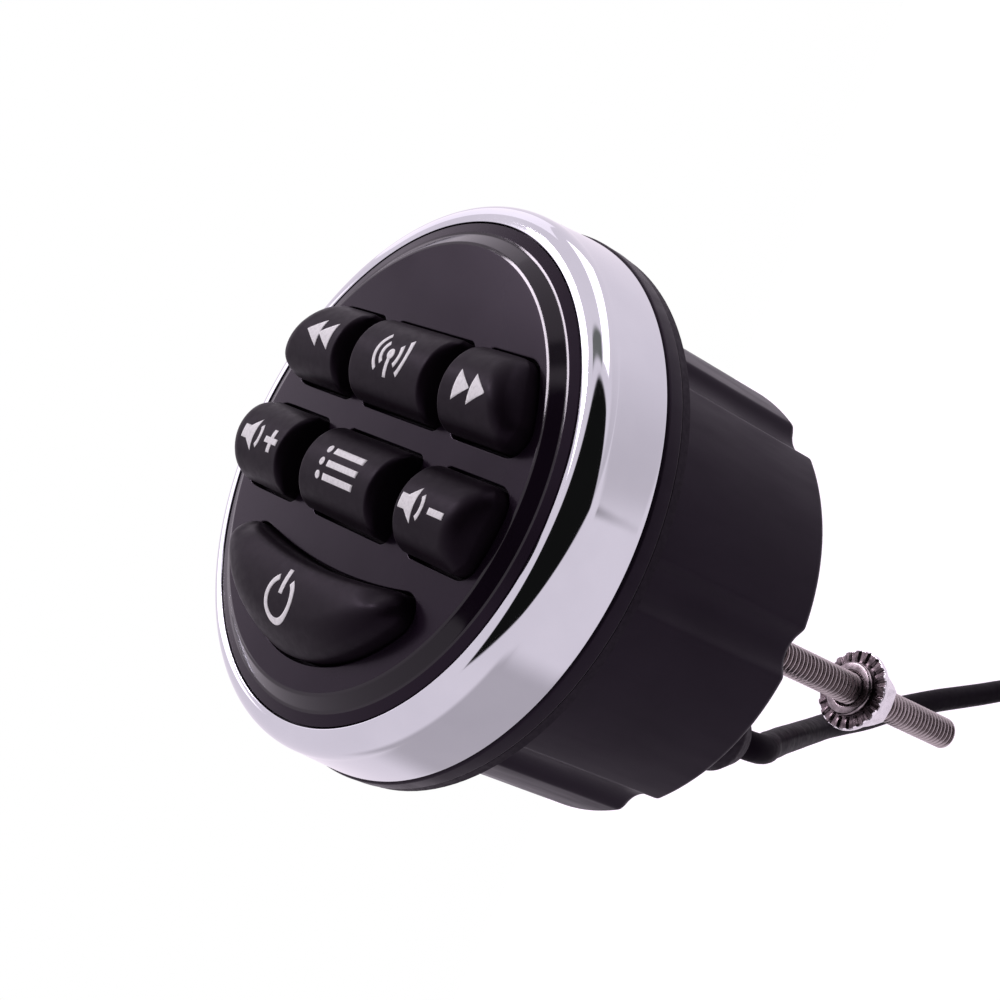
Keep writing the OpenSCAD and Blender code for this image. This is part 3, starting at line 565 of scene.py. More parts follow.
contact_plate = new_finish("contact_plate", (0.66, 0.65, 0.63), 0.2, 1.0)
roughen(contact_plate, 0.7, 0.14, 0.32, stretch=(1, 1, 0.2))

boot = make_piece("plug_boot_ribbed", turned(boot_line, PLUG_COLUMNS, plug_axis), moulded_black,
                  nodes=("plug_boot",))
plug = make_piece("plug_body_gripped", turned(body_line, PLUG_COLUMNS, plug_axis), moulded_black,
                  nodes=("plug_body",))
pin = make_piece("plug_pin_turned", turned(pin_line, PIN_COLUMNS, plug_axis), contact_plate,
                 nodes=("plug_pin",))

band_black = new_finish("band_black", (0.012, 0.012, 0.013), 0.45)
roughen(band_black, 0.3, 0.38, 0.52)
dress(band_black, "plug_bands")

# %% [markdown]
# ## The bright ring
#
# The bezel is a plated plastic ring. Its side leans in a little, and a soft shoulder turns over to the
# lip that holds the face. A mirror finish shows every flat and every ripple, so the shoulder is a smooth
# superellipse with many points. Plating reflects rather more than half of the light, with a little blue
# in it.

# %% Make the bezel
ring_low, ring_high = corners("bezel_ring")
bezel_r, bezel_z, lip_z = ring_high[0], ring_low[2], ring_high[2]
BEZEL_LEAN = 0.5
BEZEL_WALL = 1.2
SHOULDER_H = 2.5
SHOULDER_POWER = 2.3
LIP_W = 3.0
LIP_T = 0.75
LIP_EDGE = 0.16
BEZEL_COLUMNS = 360
FOOT_H = 0.2
lip_r = bezel_r - LIP_W
bore_r = bezel_r - BEZEL_LEAN - BEZEL_WALL
shoulder_r = bezel_r - BEZEL_LEAN

quarter = np.linspace(0, TURN / 4, 72)
shoulder = np.stack([
    lip_r + LIP_EDGE + (shoulder_r - lip_r - LIP_EDGE) * np.cos(quarter).clip(0) ** (2 / SHOULDER_POWER),
    lip_z - SHOULDER_H + SHOULDER_H * np.sin(quarter) ** (2 / SHOULDER_POWER),
], axis=-1)
side = np.linspace((bezel_r, bezel_z + FOOT_H), (shoulder_r, lip_z - SHOULDER_H), 14)
hem = rounded_line([
    (lip_r + LIP_EDGE, lip_z), (lip_r, lip_z, 0.14), (lip_r, lip_z - LIP_T), (bore_r, lip_z - LIP_T),
    (bore_r, bezel_z), (bezel_r, bezel_z, 0.15), (bezel_r, bezel_z + FOOT_H),
])
bezel_line = np.concatenate([side[:-1], shoulder, hem[1:]])

bright_plating = new_finish("bright_plating", (0.60, 0.616, 0.644), 0.05, 1.0)
shade(bright_plating, 9.0, (0.585, 0.601, 0.630), (0.620, 0.637, 0.664))
roughen(bright_plating, 1.5, 0.04, 0.075)
grain(bright_plating, 7.0, 0.006, detail=1)

make_piece("bezel_plated", turned(bezel_line, BEZEL_COLUMNS), bright_plating,
           nodes=("bezel_ring",), sharp=40)

# %% [markdown]
# ## Outlines of the keys
#
# Keys and windows share one outline: rounded rectangles in the middle, end keys whose outer edge follows
# the round face, and a wide power key with a slightly hollow upper edge. Each outline is made of arcs
# with a fixed number of points, so that the same outline, grown by any amount, has matching points. Rings
# between them then join without a seam.

# %% Sizes of the face and its keys
face_low, face_high = corners("face_panel")
plateau_z, edge_z, edge_r = face_high[2], face_low[2], face_high[0]
RIM_W = 2.75
PANEL_T = 1.6
KEY_SLOT = 0.3
KEY_COLLAR = 0.6
KEY_D = 8.9
KEY_W = 14.2
KEY_CORNER = 0.8
END_CORNER = 2.2
ROW_Y = {"upper": 9.7, "lower": -2.4}
INNER_X = {"upper": 9.7, "lower": 11.3}
POWER_TOP_Y = -11.7
POWER_TOP_R = 77.0
POWER_CORNER = 2.0
END_INSET = 1.65
POWER_INSET = 3.35
POCKET_INSET = 0.65
FILLET_POINTS = 14
LOWER_POINTS = 72
UPPER_POINTS = 56
END_POINTS = 28
plateau_r = lip_r - RIM_W
end_arc_r = plateau_r - END_INSET
power_arc_r = plateau_r - POWER_INSET
power_top_c = POWER_TOP_Y + POWER_TOP_R
pocket_r = plateau_r - POCKET_INSET
panel_under_z = plateau_z - PANEL_T
print("face: flat to a radius of", round(plateau_r, 2), "mm, with keys of", KEY_W, "by", KEY_D, "mm")

# %% Helpers for outlines
def arc(middle, r, start, end, steps=FILLET_POINTS):
    """Points on a circle from one angle to another, in degrees."""
    return np.asarray(middle) + r * unit(np.radians(np.linspace(start, end, steps)))


def at_height(loop, z):
    """A flat loop as one row of a grid, at a height."""
    return np.column_stack([loop, np.full(len(loop), z)])[None]


def outline_through(arcs, steps=20):
    """Closed outline through a row of arcs. Arcs that touch share a point, and the others are joined by a
    straight run, cut into equal steps."""
    parts = []
    for here, there in zip(arcs, arcs[1:] + arcs[:1]):
        run = here[-1] + (np.arange(1, steps) / steps)[:, None] * (there[0] - here[-1])
        touching = np.linalg.norm(there[0] - here[-1]) < 0.001
        parts += [here[:-1]] if touching else [here, run]
    return np.concatenate(parts)


def middle_outline(row, grow):
    """Middle key: a rectangle with round corners."""
    r = KEY_CORNER + grow
    x, h, y = KEY_W / 2 + grow - r, KEY_D / 2 + grow - r, ROW_Y[row]
    return outline_through([
        arc((x, y - h), r, -90, 0), arc((x, y + h), r, 0, 90),
        arc((-x, y + h), r, 90, 180), arc((-x, y - h), r, 180, 270),
    ])


def end_outline(row, grow):
    """End key on the right: straight inner edge, and an outer arc about the middle of the face."""
    r, f = KEY_CORNER + grow, END_CORNER + grow
    reach = end_arc_r + grow - f
    low, high = ROW_Y[row] - KEY_D / 2 - grow, ROW_Y[row] + KEY_D / 2 + grow
    bottom = (math.sqrt(reach**2 - (low + f) ** 2), low + f)
    top = (math.sqrt(reach**2 - (high - f) ** 2), high - f)
    a_bottom, a_top = (math.degrees(math.atan2(p[1], p[0])) for p in (bottom, top))
    x = INNER_X[row] - grow + r
    return outline_through([
        arc(bottom, f, -90, a_bottom), arc((0, 0), end_arc_r + grow, a_bottom, a_top, END_POINTS),
        arc(top, f, a_top, 90), arc((x, high - r), r, 90, 180), arc((x, low + r), r, 180, 270),
    ])


def power_outline(grow):
    """Power key: lower arc about the middle of the face, hollow upper arc, and a fillet at each end that
    touches both arcs."""
    f = POWER_CORNER + grow
    reach, top_r = power_arc_r + grow - f, POWER_TOP_R - grow
    y = (power_top_c**2 + reach**2 - (top_r + f) ** 2) / (2 * power_top_c)
    x = math.sqrt(reach**2 - y**2)
    a_low = math.degrees(math.atan2(y, x))
    a_top = math.degrees(math.atan2(power_top_c - y, -x))
    return outline_through([
        arc((-x, y), f, 180 - a_top, 180 - a_low),
        arc((0, 0), power_arc_r + grow, -180 - a_low, a_low, LOWER_POINTS),
        arc((x, y), f, a_low, a_top), arc((0, power_top_c), top_r, a_top - 180, -a_top, UPPER_POINTS),
    ])


print("power key:", len(power_outline(0)), "points round its outline")

# %% Outline of each key
# Name of each key, with its row and its place in the row
KEYS = {
    "previous": ("upper", -1), "band": ("upper", 0), "next": ("upper", 1),
    "volume_up": ("lower", -1), "mode": ("lower", 0), "volume_down": ("lower", 1), "power": ("power", 0),
}


def key_outline(key, grow):
    """Outline of a key by its name, grown by an amount. A left-hand key mirrors its right-hand twin."""
    row, place = KEYS[key]
    if row == "power":
        loop = power_outline(grow)
    elif place == 0:
        loop = middle_outline(row, grow)
    else:
        loop = end_outline(row, grow)
    return loop * [-1, 1] if place < 0 else loop


print("outlines:", {key: len(key_outline(key, 0)) for key in KEYS})

# %% [markdown]
# ## The face
#
# The face is one moulded panel: a flat middle with seven windows, a stepped edge and a sloping rim that
# goes under the bright lip. The step and rim are turned. The flat middle has holes, which no grid fits,
# so a constrained Delaunay triangulation fills it between the windows. Each window has a tiny rounded
# lip, because a mould leaves no knife edge. The step is drawn by its tilt: a steep slope with a narrow
# facet at its crest and another at its foot, both at the tilt that mirrors the small lamp into the
# camera. A second, polished finish on the step makes them two thin lines.

# %% Flat sheets and windows
WINDOW_ROUND = 0.12
WINDOW_COLLAR = KEY_SLOT + WINDOW_ROUND + 0.08
FLAT_EDGE = 0.75
FACE_COLUMNS = 288
flat_r = plateau_r - FLAT_EDGE


def inside(points, loop):
    """Which points lie inside a closed loop: those whose ray to the right crosses its edges an odd number
    of times."""
    a, b = loop, np.roll(loop, -1, axis=0)
    x, y = points[:, :1], points[:, 1:]
    crosses = (a[:, 1] > y) != (b[:, 1] > y)
    rise = np.where(b[:, 1] == a[:, 1], 1e-12, b[:, 1] - a[:, 1])
    at = a[:, 0] + (y - a[:, 1]) / rise * (b[:, 0] - a[:, 0])
    return (crosses & (x < at)).sum(axis=1) % 2 == 1


def flat_with_holes(rim, holes, z):
    """Flat sheet inside a rim with holes: a triangulation that keeps every loop's edges, less the
    triangles whose middle lies in a hole."""
    loops = [rim] + holes
    starts = np.cumsum([0] + [len(loop) for loop in loops])
    edges = [(s + k, s + (k + 1) % len(loop)) for loop, s in zip(loops, starts) for k in range(len(loop))]
    flat = delaunay_2d_cdt([Vector(p) for p in np.concatenate(loops)], edges, [], 0, 1e-7)
    points = np.array([tuple(p) for p in flat[0]])
    triangles = np.array(flat[2])
    middles = points[triangles].mean(axis=1)
    keep = inside(middles, rim)
    for hole in holes:
        keep &= ~inside(middles, hole)
    return at_height(points, z)[0], triangles[keep]


def window_wall(key):
    """A window's flat collar, rounded lip and wall: the outline carried in over the collar, down a
    quarter circle and then straight down. The collar keeps the bend of the lip out of the large flat."""
    a = np.linspace(TURN / 4, 0, 5)
    grow = np.concatenate([[WINDOW_COLLAR], KEY_SLOT + WINDOW_ROUND * (1 - np.cos(a)), [KEY_SLOT]])
    z = np.concatenate([[plateau_z], plateau_z - WINDOW_ROUND * (1 - np.sin(a)), [panel_under_z]])
    rows = [at_height(key_outline(key, g), h) for g, h in zip(grow, z)]
    return surface(np.concatenate(rows), wrap_columns=True)


rim_top, rim_under = (arc((0, 0), r, 0, 360, FACE_COLUMNS + 1)[:-1] for r in (flat_r, pocket_r))
window_tops = [key_outline(key, WINDOW_COLLAR) for key in KEYS]
window_feet = [key_outline(key, KEY_SLOT) for key in KEYS]
sheets = [
    flat_with_holes(rim_top, window_tops, plateau_z),
    flat_with_holes(rim_under, window_feet, panel_under_z),
]
print("flat sheets of", " and ".join(str(len(triangles)) for _, triangles in sheets), "triangles")

# %% Line of the face's step
PANEL_EDGE_T = 1.1
LIP_GAP = 0.15
STEP_START = 0.44
STEP_H = 1.054
RIM_FALL = 0.33
# Runs of the step: length, and its tilt in degrees at both ends
STEP_RUNS = [
    (0.05, 0, 7.5), (0.28, 7.5, 10.5), (0.12, 10.5, 38), (1.40, 38, 38),
    (0.12, 38, 10.5), (0.24, 10.5, 7.5), (0.06, 7.5, 16.5),
]
RUN_STEPS = 6
edge_top_z = edge_z + PANEL_EDGE_T
face_r = lip_r - LIP_GAP


def drawn_by_tilt(start, runs):
    """A falling line drawn by its tilt, which changes evenly along each run. A short step of length d
    goes out by d times the tilt's cosine and down by d times its sine."""
    length, first, last = np.array(runs, dtype=float).T
    t = (np.arange(RUN_STEPS) + 0.5) / RUN_STEPS
    tilt = np.radians(first[:, None] + (last - first)[:, None] * t).ravel()
    step = np.repeat(length / RUN_STEPS, RUN_STEPS)
    moves = np.stack([step * np.cos(tilt), -step * np.sin(tilt)], axis=-1)
    return np.concatenate([[start], start + np.cumsum(moves, axis=0)])


step_line = drawn_by_tilt(np.array([plateau_r - STEP_START, plateau_z]), STEP_RUNS)
face_line = np.concatenate([[(flat_r, plateau_z)], step_line[:-1], rounded_line([
    tuple(step_line[-1]), (face_r, plateau_z - STEP_H - RIM_FALL, 0.12),
    (face_r, edge_top_z), (edge_r, edge_top_z), (edge_r, edge_z),
    (pocket_r, edge_z), (pocket_r, panel_under_z),
], 9)])
print("step: from radius", step_line[0].round(2), "to", step_line[-1].round(2))

# %% Make the face
STEP_CLEAR = 0.02


def even_normals(piece):
    """Weight a piece's normals by face area, so that flats stay flat beside small rounds."""
    weighted = piece.modifiers.new("even_normals", "WEIGHTED_NORMAL")
    weighted.keep_sharp = True


def face_middles(piece):
    """Radius and height of the middle of each face of a piece, in millimetres."""
    middles = np.empty(len(piece.data.polygons) * 3, dtype=np.float32)
    piece.data.polygons.foreach_get("center", middles)
    x, y, z = middles.reshape(-1, 3).T / MM
    return np.hypot(x, y), z


def second_finish(piece, finish, where):
    """Give some faces of a piece a second finish: those for which the array where is true."""
    piece.data.materials.append(finish)
    piece.data.polygons.foreach_set("material_index", where.astype(np.int32))
    print(piece.name, "has", int(where.sum()), "faces in", finish.name)


satin_face = new_finish("satin_face", (0.0094, 0.0054, 0.0108), 0.22, gloss=0.13)
shade(satin_face, 14.0, (0.0085, 0.0048, 0.0098), (0.0105, 0.0061, 0.0120))
roughen(satin_face, 6.0, 0.18, 0.22)
grain(satin_face, 0.11, 0.0005)

face_shape = join(turned(face_line, FACE_COLUMNS), *sheets, *[window_wall(key) for key in KEYS])
face = make_piece("face_moulded", face_shape, satin_face,
                  nodes=("face_panel",), sharp=50)

polished_step = new_finish("polished_step", (0.0094, 0.0054, 0.0108), 0.10, Specular_IOR_Level=0.28)
roughen(polished_step, 1.5, 0.07, 0.13)
r, z = face_middles(face)
on_step = (r > step_line[RUN_STEPS, 0]) & (r < step_line[-1 - RUN_STEPS, 0])
on_step &= (z > plateau_z - STEP_H - STEP_CLEAR) & (z < plateau_z)
second_finish(face, polished_step, on_step)
even_normals(face)

# %% [markdown]
# ## The keys
#
# Each key is a soft rubber cap: a long vault across its short side, rounded off at the ends. Its height
# is a function of the place on the face, so the cap is a set of rings that shrink from the outline to one
# middle point, each lifted to that height. Walls and a wider collar, which keeps the key behind its
# window, follow below.

# %% Height of a key
KEY_CROWN = 4.1
KEY_EDGE = 1.3
POWER_CROWN = 3.8
POWER_ARCH_R = 8.0
POWER_RIDGE_Y = -15.2
PAINT_ROOM = 0.06
WALL_TOP = 0.4
EDGE_W = 0.75
EDGE_SHARE = 0.4
# Points of the power key's outline along its lower arc and both end fillets
POWER_LOWER = FILLET_POINTS + LOWER_POINTS + FILLET_POINTS - 2
# Width and share of the rounding at the end of a left and of a right key
END_ROUND = {-1: (1.9, 0.48), 1: (2.4, 0.62)}
# The same along the power key's lower edge
POWER_ROUND = (3.6, 0.62)
rise = KEY_CROWN - KEY_EDGE
arch_r = (KEY_D**2 / 4 + rise**2) / (2 * rise)
wall_z = plateau_z + WALL_TOP


def rounded_off(distance, width, share):
    """Factor that lowers a crown near an edge: 1 beyond the width, and from there a quarter ellipse down
    to 1 - share."""
    s = np.clip(1 - distance / width, 0, 1)
    return 1 - share * (1 - np.sqrt(1 - s * s))


def to_line(line, x, y):
    """Distance from each place to a line of short sides: the least distance to any of its sides."""
    place = np.stack([x, y], axis=-1).reshape(-1, 1, 2)
    start, side = line[None, :-1], (line[1:] - line[:-1])[None]
    t = np.clip(((place - start) * side).sum(axis=-1) / (side**2).sum(axis=-1), 0, 1)
    return np.linalg.norm(place - start - t[..., None] * side, axis=-1).min(axis=1).reshape(np.shape(x))


def key_height(key, x, y):
    """Height of a key's cap: a vault over its ridge line, times the rounding of its edge all round and
    the longer rounding of the edge that follows the round face."""
    row, place = KEYS[key]
    outline = key_outline(key, 0)
    factor = rounded_off(to_line(np.concatenate([outline, outline[:1]]), x, y), EDGE_W, EDGE_SHARE)
    if row == "power":
        axis_z = plateau_z + POWER_CROWN - PAINT_ROOM - POWER_ARCH_R
        vault = axis_z + np.sqrt(POWER_ARCH_R**2 - (y - POWER_RIDGE_Y) ** 2)
        factor = factor * rounded_off(to_line(outline[:POWER_LOWER], x, y), *POWER_ROUND)
        return wall_z + (vault - wall_z) * factor
    axis_z = plateau_z + KEY_CROWN - PAINT_ROOM - arch_r
    vault = axis_z + np.sqrt(np.maximum(arch_r**2 - (y - ROW_Y[row]) ** 2, 0))
    if place:
        factor = factor * rounded_off(end_arc_r - np.hypot(x, y), *END_ROUND[place])
    return wall_z + (vault - wall_z) * factor


print("row keys: vault radius", round(arch_r, 2), "mm")

# %% Make the keys
CAP_RINGS = 44
RING_CROWDING = 1.6
COLLAR_GAP = 0.12
COLLAR_CLEAR = 0.3
collar_top_z = panel_under_z - COLLAR_GAP
collar_clip_r = pocket_r - COLLAR_CLEAR


def key_cap(key):
    """Closed cap of a key. From the bottom: middle, collar, wall, then rings that are close together near
    the edge, p = m + (1 - s)(outline - m), and last the middle m again."""
    outline = key_outline(key, 0)
    collar = key_outline(key, KEY_COLLAR)
    collar = collar * np.minimum(1, collar_clip_r / np.linalg.norm(collar, axis=1))[:, None]
    low_z = corners("key_" + key)[0][2]
    middle = (outline.min(axis=0) + outline.max(axis=0)) / 2
    s = np.linspace(0, 1, CAP_RINGS) ** RING_CROWDING
    rings = middle + (1 - s)[:, None, None] * (outline - middle)[None]
    tops = np.concatenate([rings, key_height(key, rings[..., 0], rings[..., 1])[..., None]], axis=-1)
    feet = np.broadcast_to(middle, outline.shape)
    grid = np.concatenate([
        at_height(feet, low_z), at_height(collar, low_z), at_height(collar, collar_top_z),
        at_height(outline, collar_top_z), tops,
    ])
    return surface(grid, wrap_columns=True)


key_rubber = new_finish("key_rubber", (0.0066, 0.0044, 0.0068), 0.42, gloss=0.066)
shade(key_rubber, 3.5, (0.0058, 0.0038, 0.0060), (0.0075, 0.0050, 0.0077))
roughen(key_rubber, 0.8, 0.37, 0.47)
grain(key_rubber, 0.09, 0.0015)

for key in KEYS:
    make_piece("key_" + key + "_cap", key_cap(key), key_rubber, "key_" + key,
               ("key_" + key,), sharp=48)

# %% [markdown]
# ## Marks on the keys
#
# The real keys carry white printed words. Here each one has a plain symbol of like size and weight:
# double arrows, an aerial, a list, a loudspeaker with plus or minus, and the standby ring. A symbol is a
# few patches, each ruled between two edges, laid on the key by its height function and given the
# thickness of paint with Solidify.

# %% Patches for marks
def ruled(edge, other, rows=7):
    """Flat patch between two edges with equal numbers of points, turned so that it faces up."""
    t = np.linspace(0, 1, rows)[:, None, None]
    patch = (1 - t) * np.asarray(edge, dtype=float)[None] + t * np.asarray(other, dtype=float)[None]
    first = patch[0, -1] - patch[0, 0]
    across = patch[-1].mean(axis=0) - patch[0].mean(axis=0)
    return patch[::-1] if first[0] * across[1] - first[1] * across[0] > 0 else patch


def line_between(start, end, steps=15):
    """Points on a straight line."""
    return np.asarray(start) + np.linspace(0, 1, steps)[:, None] * (np.asarray(end) - np.asarray(start))


def bar(x0, x1, y0, y1):
    """Upright rectangle."""
    return ruled(line_between((x0, y0), (x1, y0)), line_between((x0, y1), (x1, y1)))


def wedge(tip_x, base_x, half_tip, half_base):
    """Triangle or trapezium that widens from its tip to its base."""
    return ruled(line_between((tip_x, -half_tip), (base_x, -half_base)),
                 line_between((tip_x, half_tip), (base_x, half_base)), 11)


def band_arc(middle, r, width, start, end, steps=41):
    """Part of a ring."""
    return ruled(*[arc(middle, r + half, start, end, steps) for half in (-width / 2, width / 2)], 5)


def dot(middle, r):
    """Filled disc, as rings about its middle."""
    return ruled(arc(middle, 0.02, 0, 360, 33), arc(middle, r, 0, 360, 33), 5)


print("a bar has a patch of", bar(0, 1, 0, 1).shape[:2], "points")

# %% Symbols of the keys
MARK_SCALE = {"band": 1.15, "mode": 1.18, "volume_up": 1.2, "volume_down": 1.2, "power": 1.3}
PAINT_LIFT = 0.012
speaker = [
    bar(-3.1, -2.1, -0.62, 0.62), wedge(-2.15, -1.05, 0.62, 1.5), band_arc((-1.35, 0), 1.35, 0.42, -45, 45),
]
MARKS = {
    "previous": ((-14.05, 10.17), [wedge(-2.5, 0.1, 0.05, 1.55), wedge(-0.1, 2.5, 0.05, 1.55)]),
    "next": ((15.03, 9.46), [wedge(-0.1, -2.5, 0.05, 1.55), wedge(2.5, 0.1, 0.05, 1.55)]),
    "band": ((0.3, 9.87), [dot((0, 0.35), 0.5), bar(-0.24, 0.24, -1.75, 0)]
             + [band_arc((0, 0.35), r, 0.46, a - 44, a + 44) for r in (1.35, 2.35) for a in (0, 180)]),
    "mode": ((0.29, -2.06), [dot((-2.75, y), 0.36) for y in (-1.2, 0, 1.2)]
             + [bar(-1.9, 3.0, y - 0.29, y + 0.29) for y in (-1.2, 0, 1.2)]),
    "volume_up": ((-16.24, -2.26), speaker + [bar(1.0, 3.1, -0.28, 0.28), bar(1.77, 2.33, 0.26, 1.05),
                                              bar(1.77, 2.33, -1.05, -0.26)]),
    "volume_down": ((16.0, -2.48), speaker + [bar(1.0, 3.1, -0.28, 0.28)]),
    "power": ((-0.39, -15.81), [band_arc((0, -0.25), 1.75, 0.5, -238, 58, 65), bar(-0.26, 0.26, 0.1, 2.1)]),
}


def painted(key, patch, place):
    """A patch laid on its key: scaled, moved to its place, and lifted to the key's height."""
    x, y = (patch * MARK_SCALE.get(key, 1.0) + place)[..., :2].transpose(2, 0, 1)
    return surface(np.stack([x, y, key_height(key, x, y) + PAINT_LIFT], axis=-1))


print("marks:", {key: len(patches) for key, (_, patches) in MARKS.items()})

# %% Print the marks
PAINT_T = 0.03

white_paint = new_finish("white_paint", (0.80, 0.82, 0.80), 0.5)
shade(white_paint, 0.35, (0.70, 0.715, 0.69), (0.82, 0.84, 0.81), 0.30, 0.55, detail=4)
grain(white_paint, 0.08, 0.006)

for key, (place, patches) in MARKS.items():
    mark = make_piece("mark_" + key, join(*[painted(key, patch, place) for patch in patches]), white_paint,
                      "key_" + key, closed=False)
    thickness = mark.modifiers.new("paint", "SOLIDIFY")
    thickness.thickness = PAINT_T * MM
    thickness.offset = 1

# %% [markdown]
# ## The cup
#
# The cup is a black moulding: a barrel with six scalloped grooves, a flange that the bright ring sits on,
# and a collar inside it that carries the face. Its profile is turned, but the barrel's radius also
# depends on the angle: inside a groove it is the near side of the groove's circle. A soft minimum of the
# two rounds the grooves' edges.

# %% The cup's grooves
BARREL_R = 25.3
GROOVE_R = 3.6
GROOVE_DEPTH = 1.2
GROOVE_PITCH = 57
GROOVE_BLEND = 0.5
groove_c = BARREL_R - GROOVE_DEPTH + GROOVE_R
GROOVES = [side + k * GROOVE_PITCH for side in (0, 180) for k in (-1, 0, 1)]


def soft_least(a, b, blend):
    """The lesser of two values, blended over a short range where they are close."""
    h = np.clip(0.5 + 0.5 * (b - a) / blend, 0, 1)
    return b * (1 - h) + a * h - blend * h * (1 - h)


def groove_cut(angle):
    """How deep the grooves cut at each angle: barrel radius less the near side of the groove's circle,
    which is c cos p - sqrt(R^2 - (c sin p)^2) at angle p from the groove's middle."""
    r = np.full_like(angle, BARREL_R)
    for groove in np.radians(GROOVES):
        p = (angle - groove + math.pi) % TURN - math.pi
        square = GROOVE_R**2 - (groove_c * np.sin(p)) ** 2
        near = groove_c * np.cos(p) - np.sqrt(np.maximum(square, 0))
        hit = (square > 0) & (np.cos(p) > 0)
        r = np.where(hit, soft_least(r, near, GROOVE_BLEND), r)
    return BARREL_R - r


print("grooves at", GROOVES, "degrees")

# %% Make the cup
cup_low, cup_high = corners("housing")
insert_high = corners("stud_insert")[1]
flange_r, back_z = cup_high[0], cup_low[2]
BARREL_WALL = 2.0
BACK_WALL = 2.5
BACK_ROUND = 1.0
GASKET_T = 1.0
STEP_R = BARREL_R + 0.3
FLANGE_ROUND = 0.3
COLLAR_WALL = 1.9
INSERT_WALL = 1.5
PRESS_GAP = 0.03
WALL_CLEAR = 0.4
CUP_COLUMNS = 960
insert_r = insert_high[0] + PRESS_GAP
floor_z = back_z + BACK_WALL
barrel_in_r = BARREL_R - BARREL_WALL
collar_in_r = edge_r - COLLAR_WALL

cup_line = rounded_line([
    (0, insert_high[2] + PRESS_GAP), (insert_r, insert_high[2] + PRESS_GAP), (insert_r, back_z),
    (BARREL_R, back_z, BACK_ROUND), (BARREL_R, 0), (STEP_R, 0), (STEP_R, GASKET_T),
    (flange_r, GASKET_T, FLANGE_ROUND), (flange_r, bezel_z, FLANGE_ROUND), (edge_r, bezel_z),
    (edge_r, edge_z), (collar_in_r, edge_z), (collar_in_r, bezel_z), (barrel_in_r, bezel_z),
    (barrel_in_r, floor_z), (insert_r + INSERT_WALL, floor_z),
    (insert_r + INSERT_WALL, insert_high[2] + INSERT_WALL), (0, insert_high[2] + INSERT_WALL),
], 10)
grooved = (cup_line[:, 1] <= 0) & (cup_line[:, 0] <= BARREL_R)
grooved &= cup_line[:, 0] > barrel_in_r + WALL_CLEAR
cup_r = cup_line[:, :1] - grooved[:, None] * groove_cut(angles(CUP_COLUMNS))

cup_plastic = new_finish("cup_plastic", (0.0098, 0.0071, 0.0116), 0.38, gloss=0.12)
shade(cup_plastic, 11.0, (0.0087, 0.0062, 0.0103), (0.0113, 0.0082, 0.0133))
roughen(cup_plastic, 2.0, 0.33, 0.46, stretch=(1, 1, 5))
grain(cup_plastic, 0.14, 0.004)
grain(cup_plastic, 5.0, 0.012, detail=1, stretch=(1, 1, 4))

cup = make_piece("housing_moulded", round_grid(cup_r, cup_line[:, 1:], CUP_COLUMNS), cup_plastic,
                 nodes=("housing",), sharp=32)
even_normals(cup)

# %% [markdown]
# ## The stud and its thread
#
# A long M4 stud stands on the centre line. Its thread is a true helix: every row of the grid climbs one
# pitch in a turn, so the crests run clean round the stud, and the end of each row meets the row one pitch
# above. Both ends are cut back to a small cone. A stored depth, 0 on the crests and 1 in the roots, lets
# the finish paint shade into the roots: its colour darkens from the crests to the roots.

# %% Make the stud
stud_low, stud_high = corners("mounting_stud")
stud_r = stud_high[0]
THREAD_PITCH = 0.7
THREAD_DEPTH = 0.40
THREAD_ROWS = 10
ROOT_SHARE = 0.25
FLANK_SHARE = 0.6
STUD_COLUMNS = 40
END_R = stud_r - 0.55


def threaded_rod(r, z_low, z_high):
    """A threaded rod: z = row height + pitch * angle / turn, and r is a rounded trapezium wave across one
    pitch, limited by a 45 degree cone at each end."""
    turns_up = math.ceil((z_high - z_low) / THREAD_PITCH) + 2
    w = np.tile(np.arange(THREAD_ROWS) / THREAD_ROWS, turns_up)
    rows_z = z_low - THREAD_PITCH + THREAD_PITCH * np.arange(len(w)) / THREAD_ROWS
    a = TURN * np.arange(STUD_COLUMNS + 1) / STUD_COLUMNS
    z = np.clip(rows_z[:, None] + THREAD_PITCH * a[None] / TURN, z_low, z_high)
    crest = ease((np.abs(2 * w - 1) - ROOT_SHARE) / FLANK_SHARE)
    wave = np.broadcast_to((r - THREAD_DEPTH * (1 - crest))[:, None], z.shape)
    cone = END_R + np.minimum(z - z_low, z_high - z)
    radius = np.minimum(wave, cone)
    rod = surface(np.stack([radius * np.cos(a), radius * np.sin(a), z], axis=-1))
    caps = [turned([(0, end), (END_R, end)], STUD_COLUMNS) for end in (z_low, z_high)]
    return join(rod, *caps)


def store_depth(piece, name):
    """Store how deep each point of the thread lies: 0 on the crest and 1 in the root."""
    mesh = piece.data
    places = np.empty(len(mesh.vertices) * 3, dtype=np.float32)
    mesh.vertices.foreach_get("co", places)
    x, y, _ = places.reshape(-1, 3).T / MM
    depth = np.clip((stud_r - np.hypot(x, y)) / THREAD_DEPTH, 0, 1).astype(np.float32)
    mesh.attributes.new(name, "FLOAT", "POINT").data.foreach_set("value", depth)


thread_steel = new_finish("thread_steel", (0.50, 0.46, 0.44), 0.3, 1.0)
# Painted shade: the colour runs from bright on the crests to nearly black in the roots of the thread.
depth = add(thread_steel.node_tree, "Attribute")
depth.attribute_name = "thread_depth"
shade_by(thread_steel, depth.outputs["Fac"], (0.46, 0.41, 0.41), (0.045, 0.034, 0.038), 0.1, 0.9)
roughen(thread_steel, 0.8, 0.18, 0.34)
grain(thread_steel, 0.12, 0.004)

stud = make_piece("mounting_stud_threaded", threaded_rod(stud_r, stud_low[2], stud_high[2]), thread_steel,
                  nodes=("mounting_stud",), sharp=40)
store_depth(stud, "thread_depth")
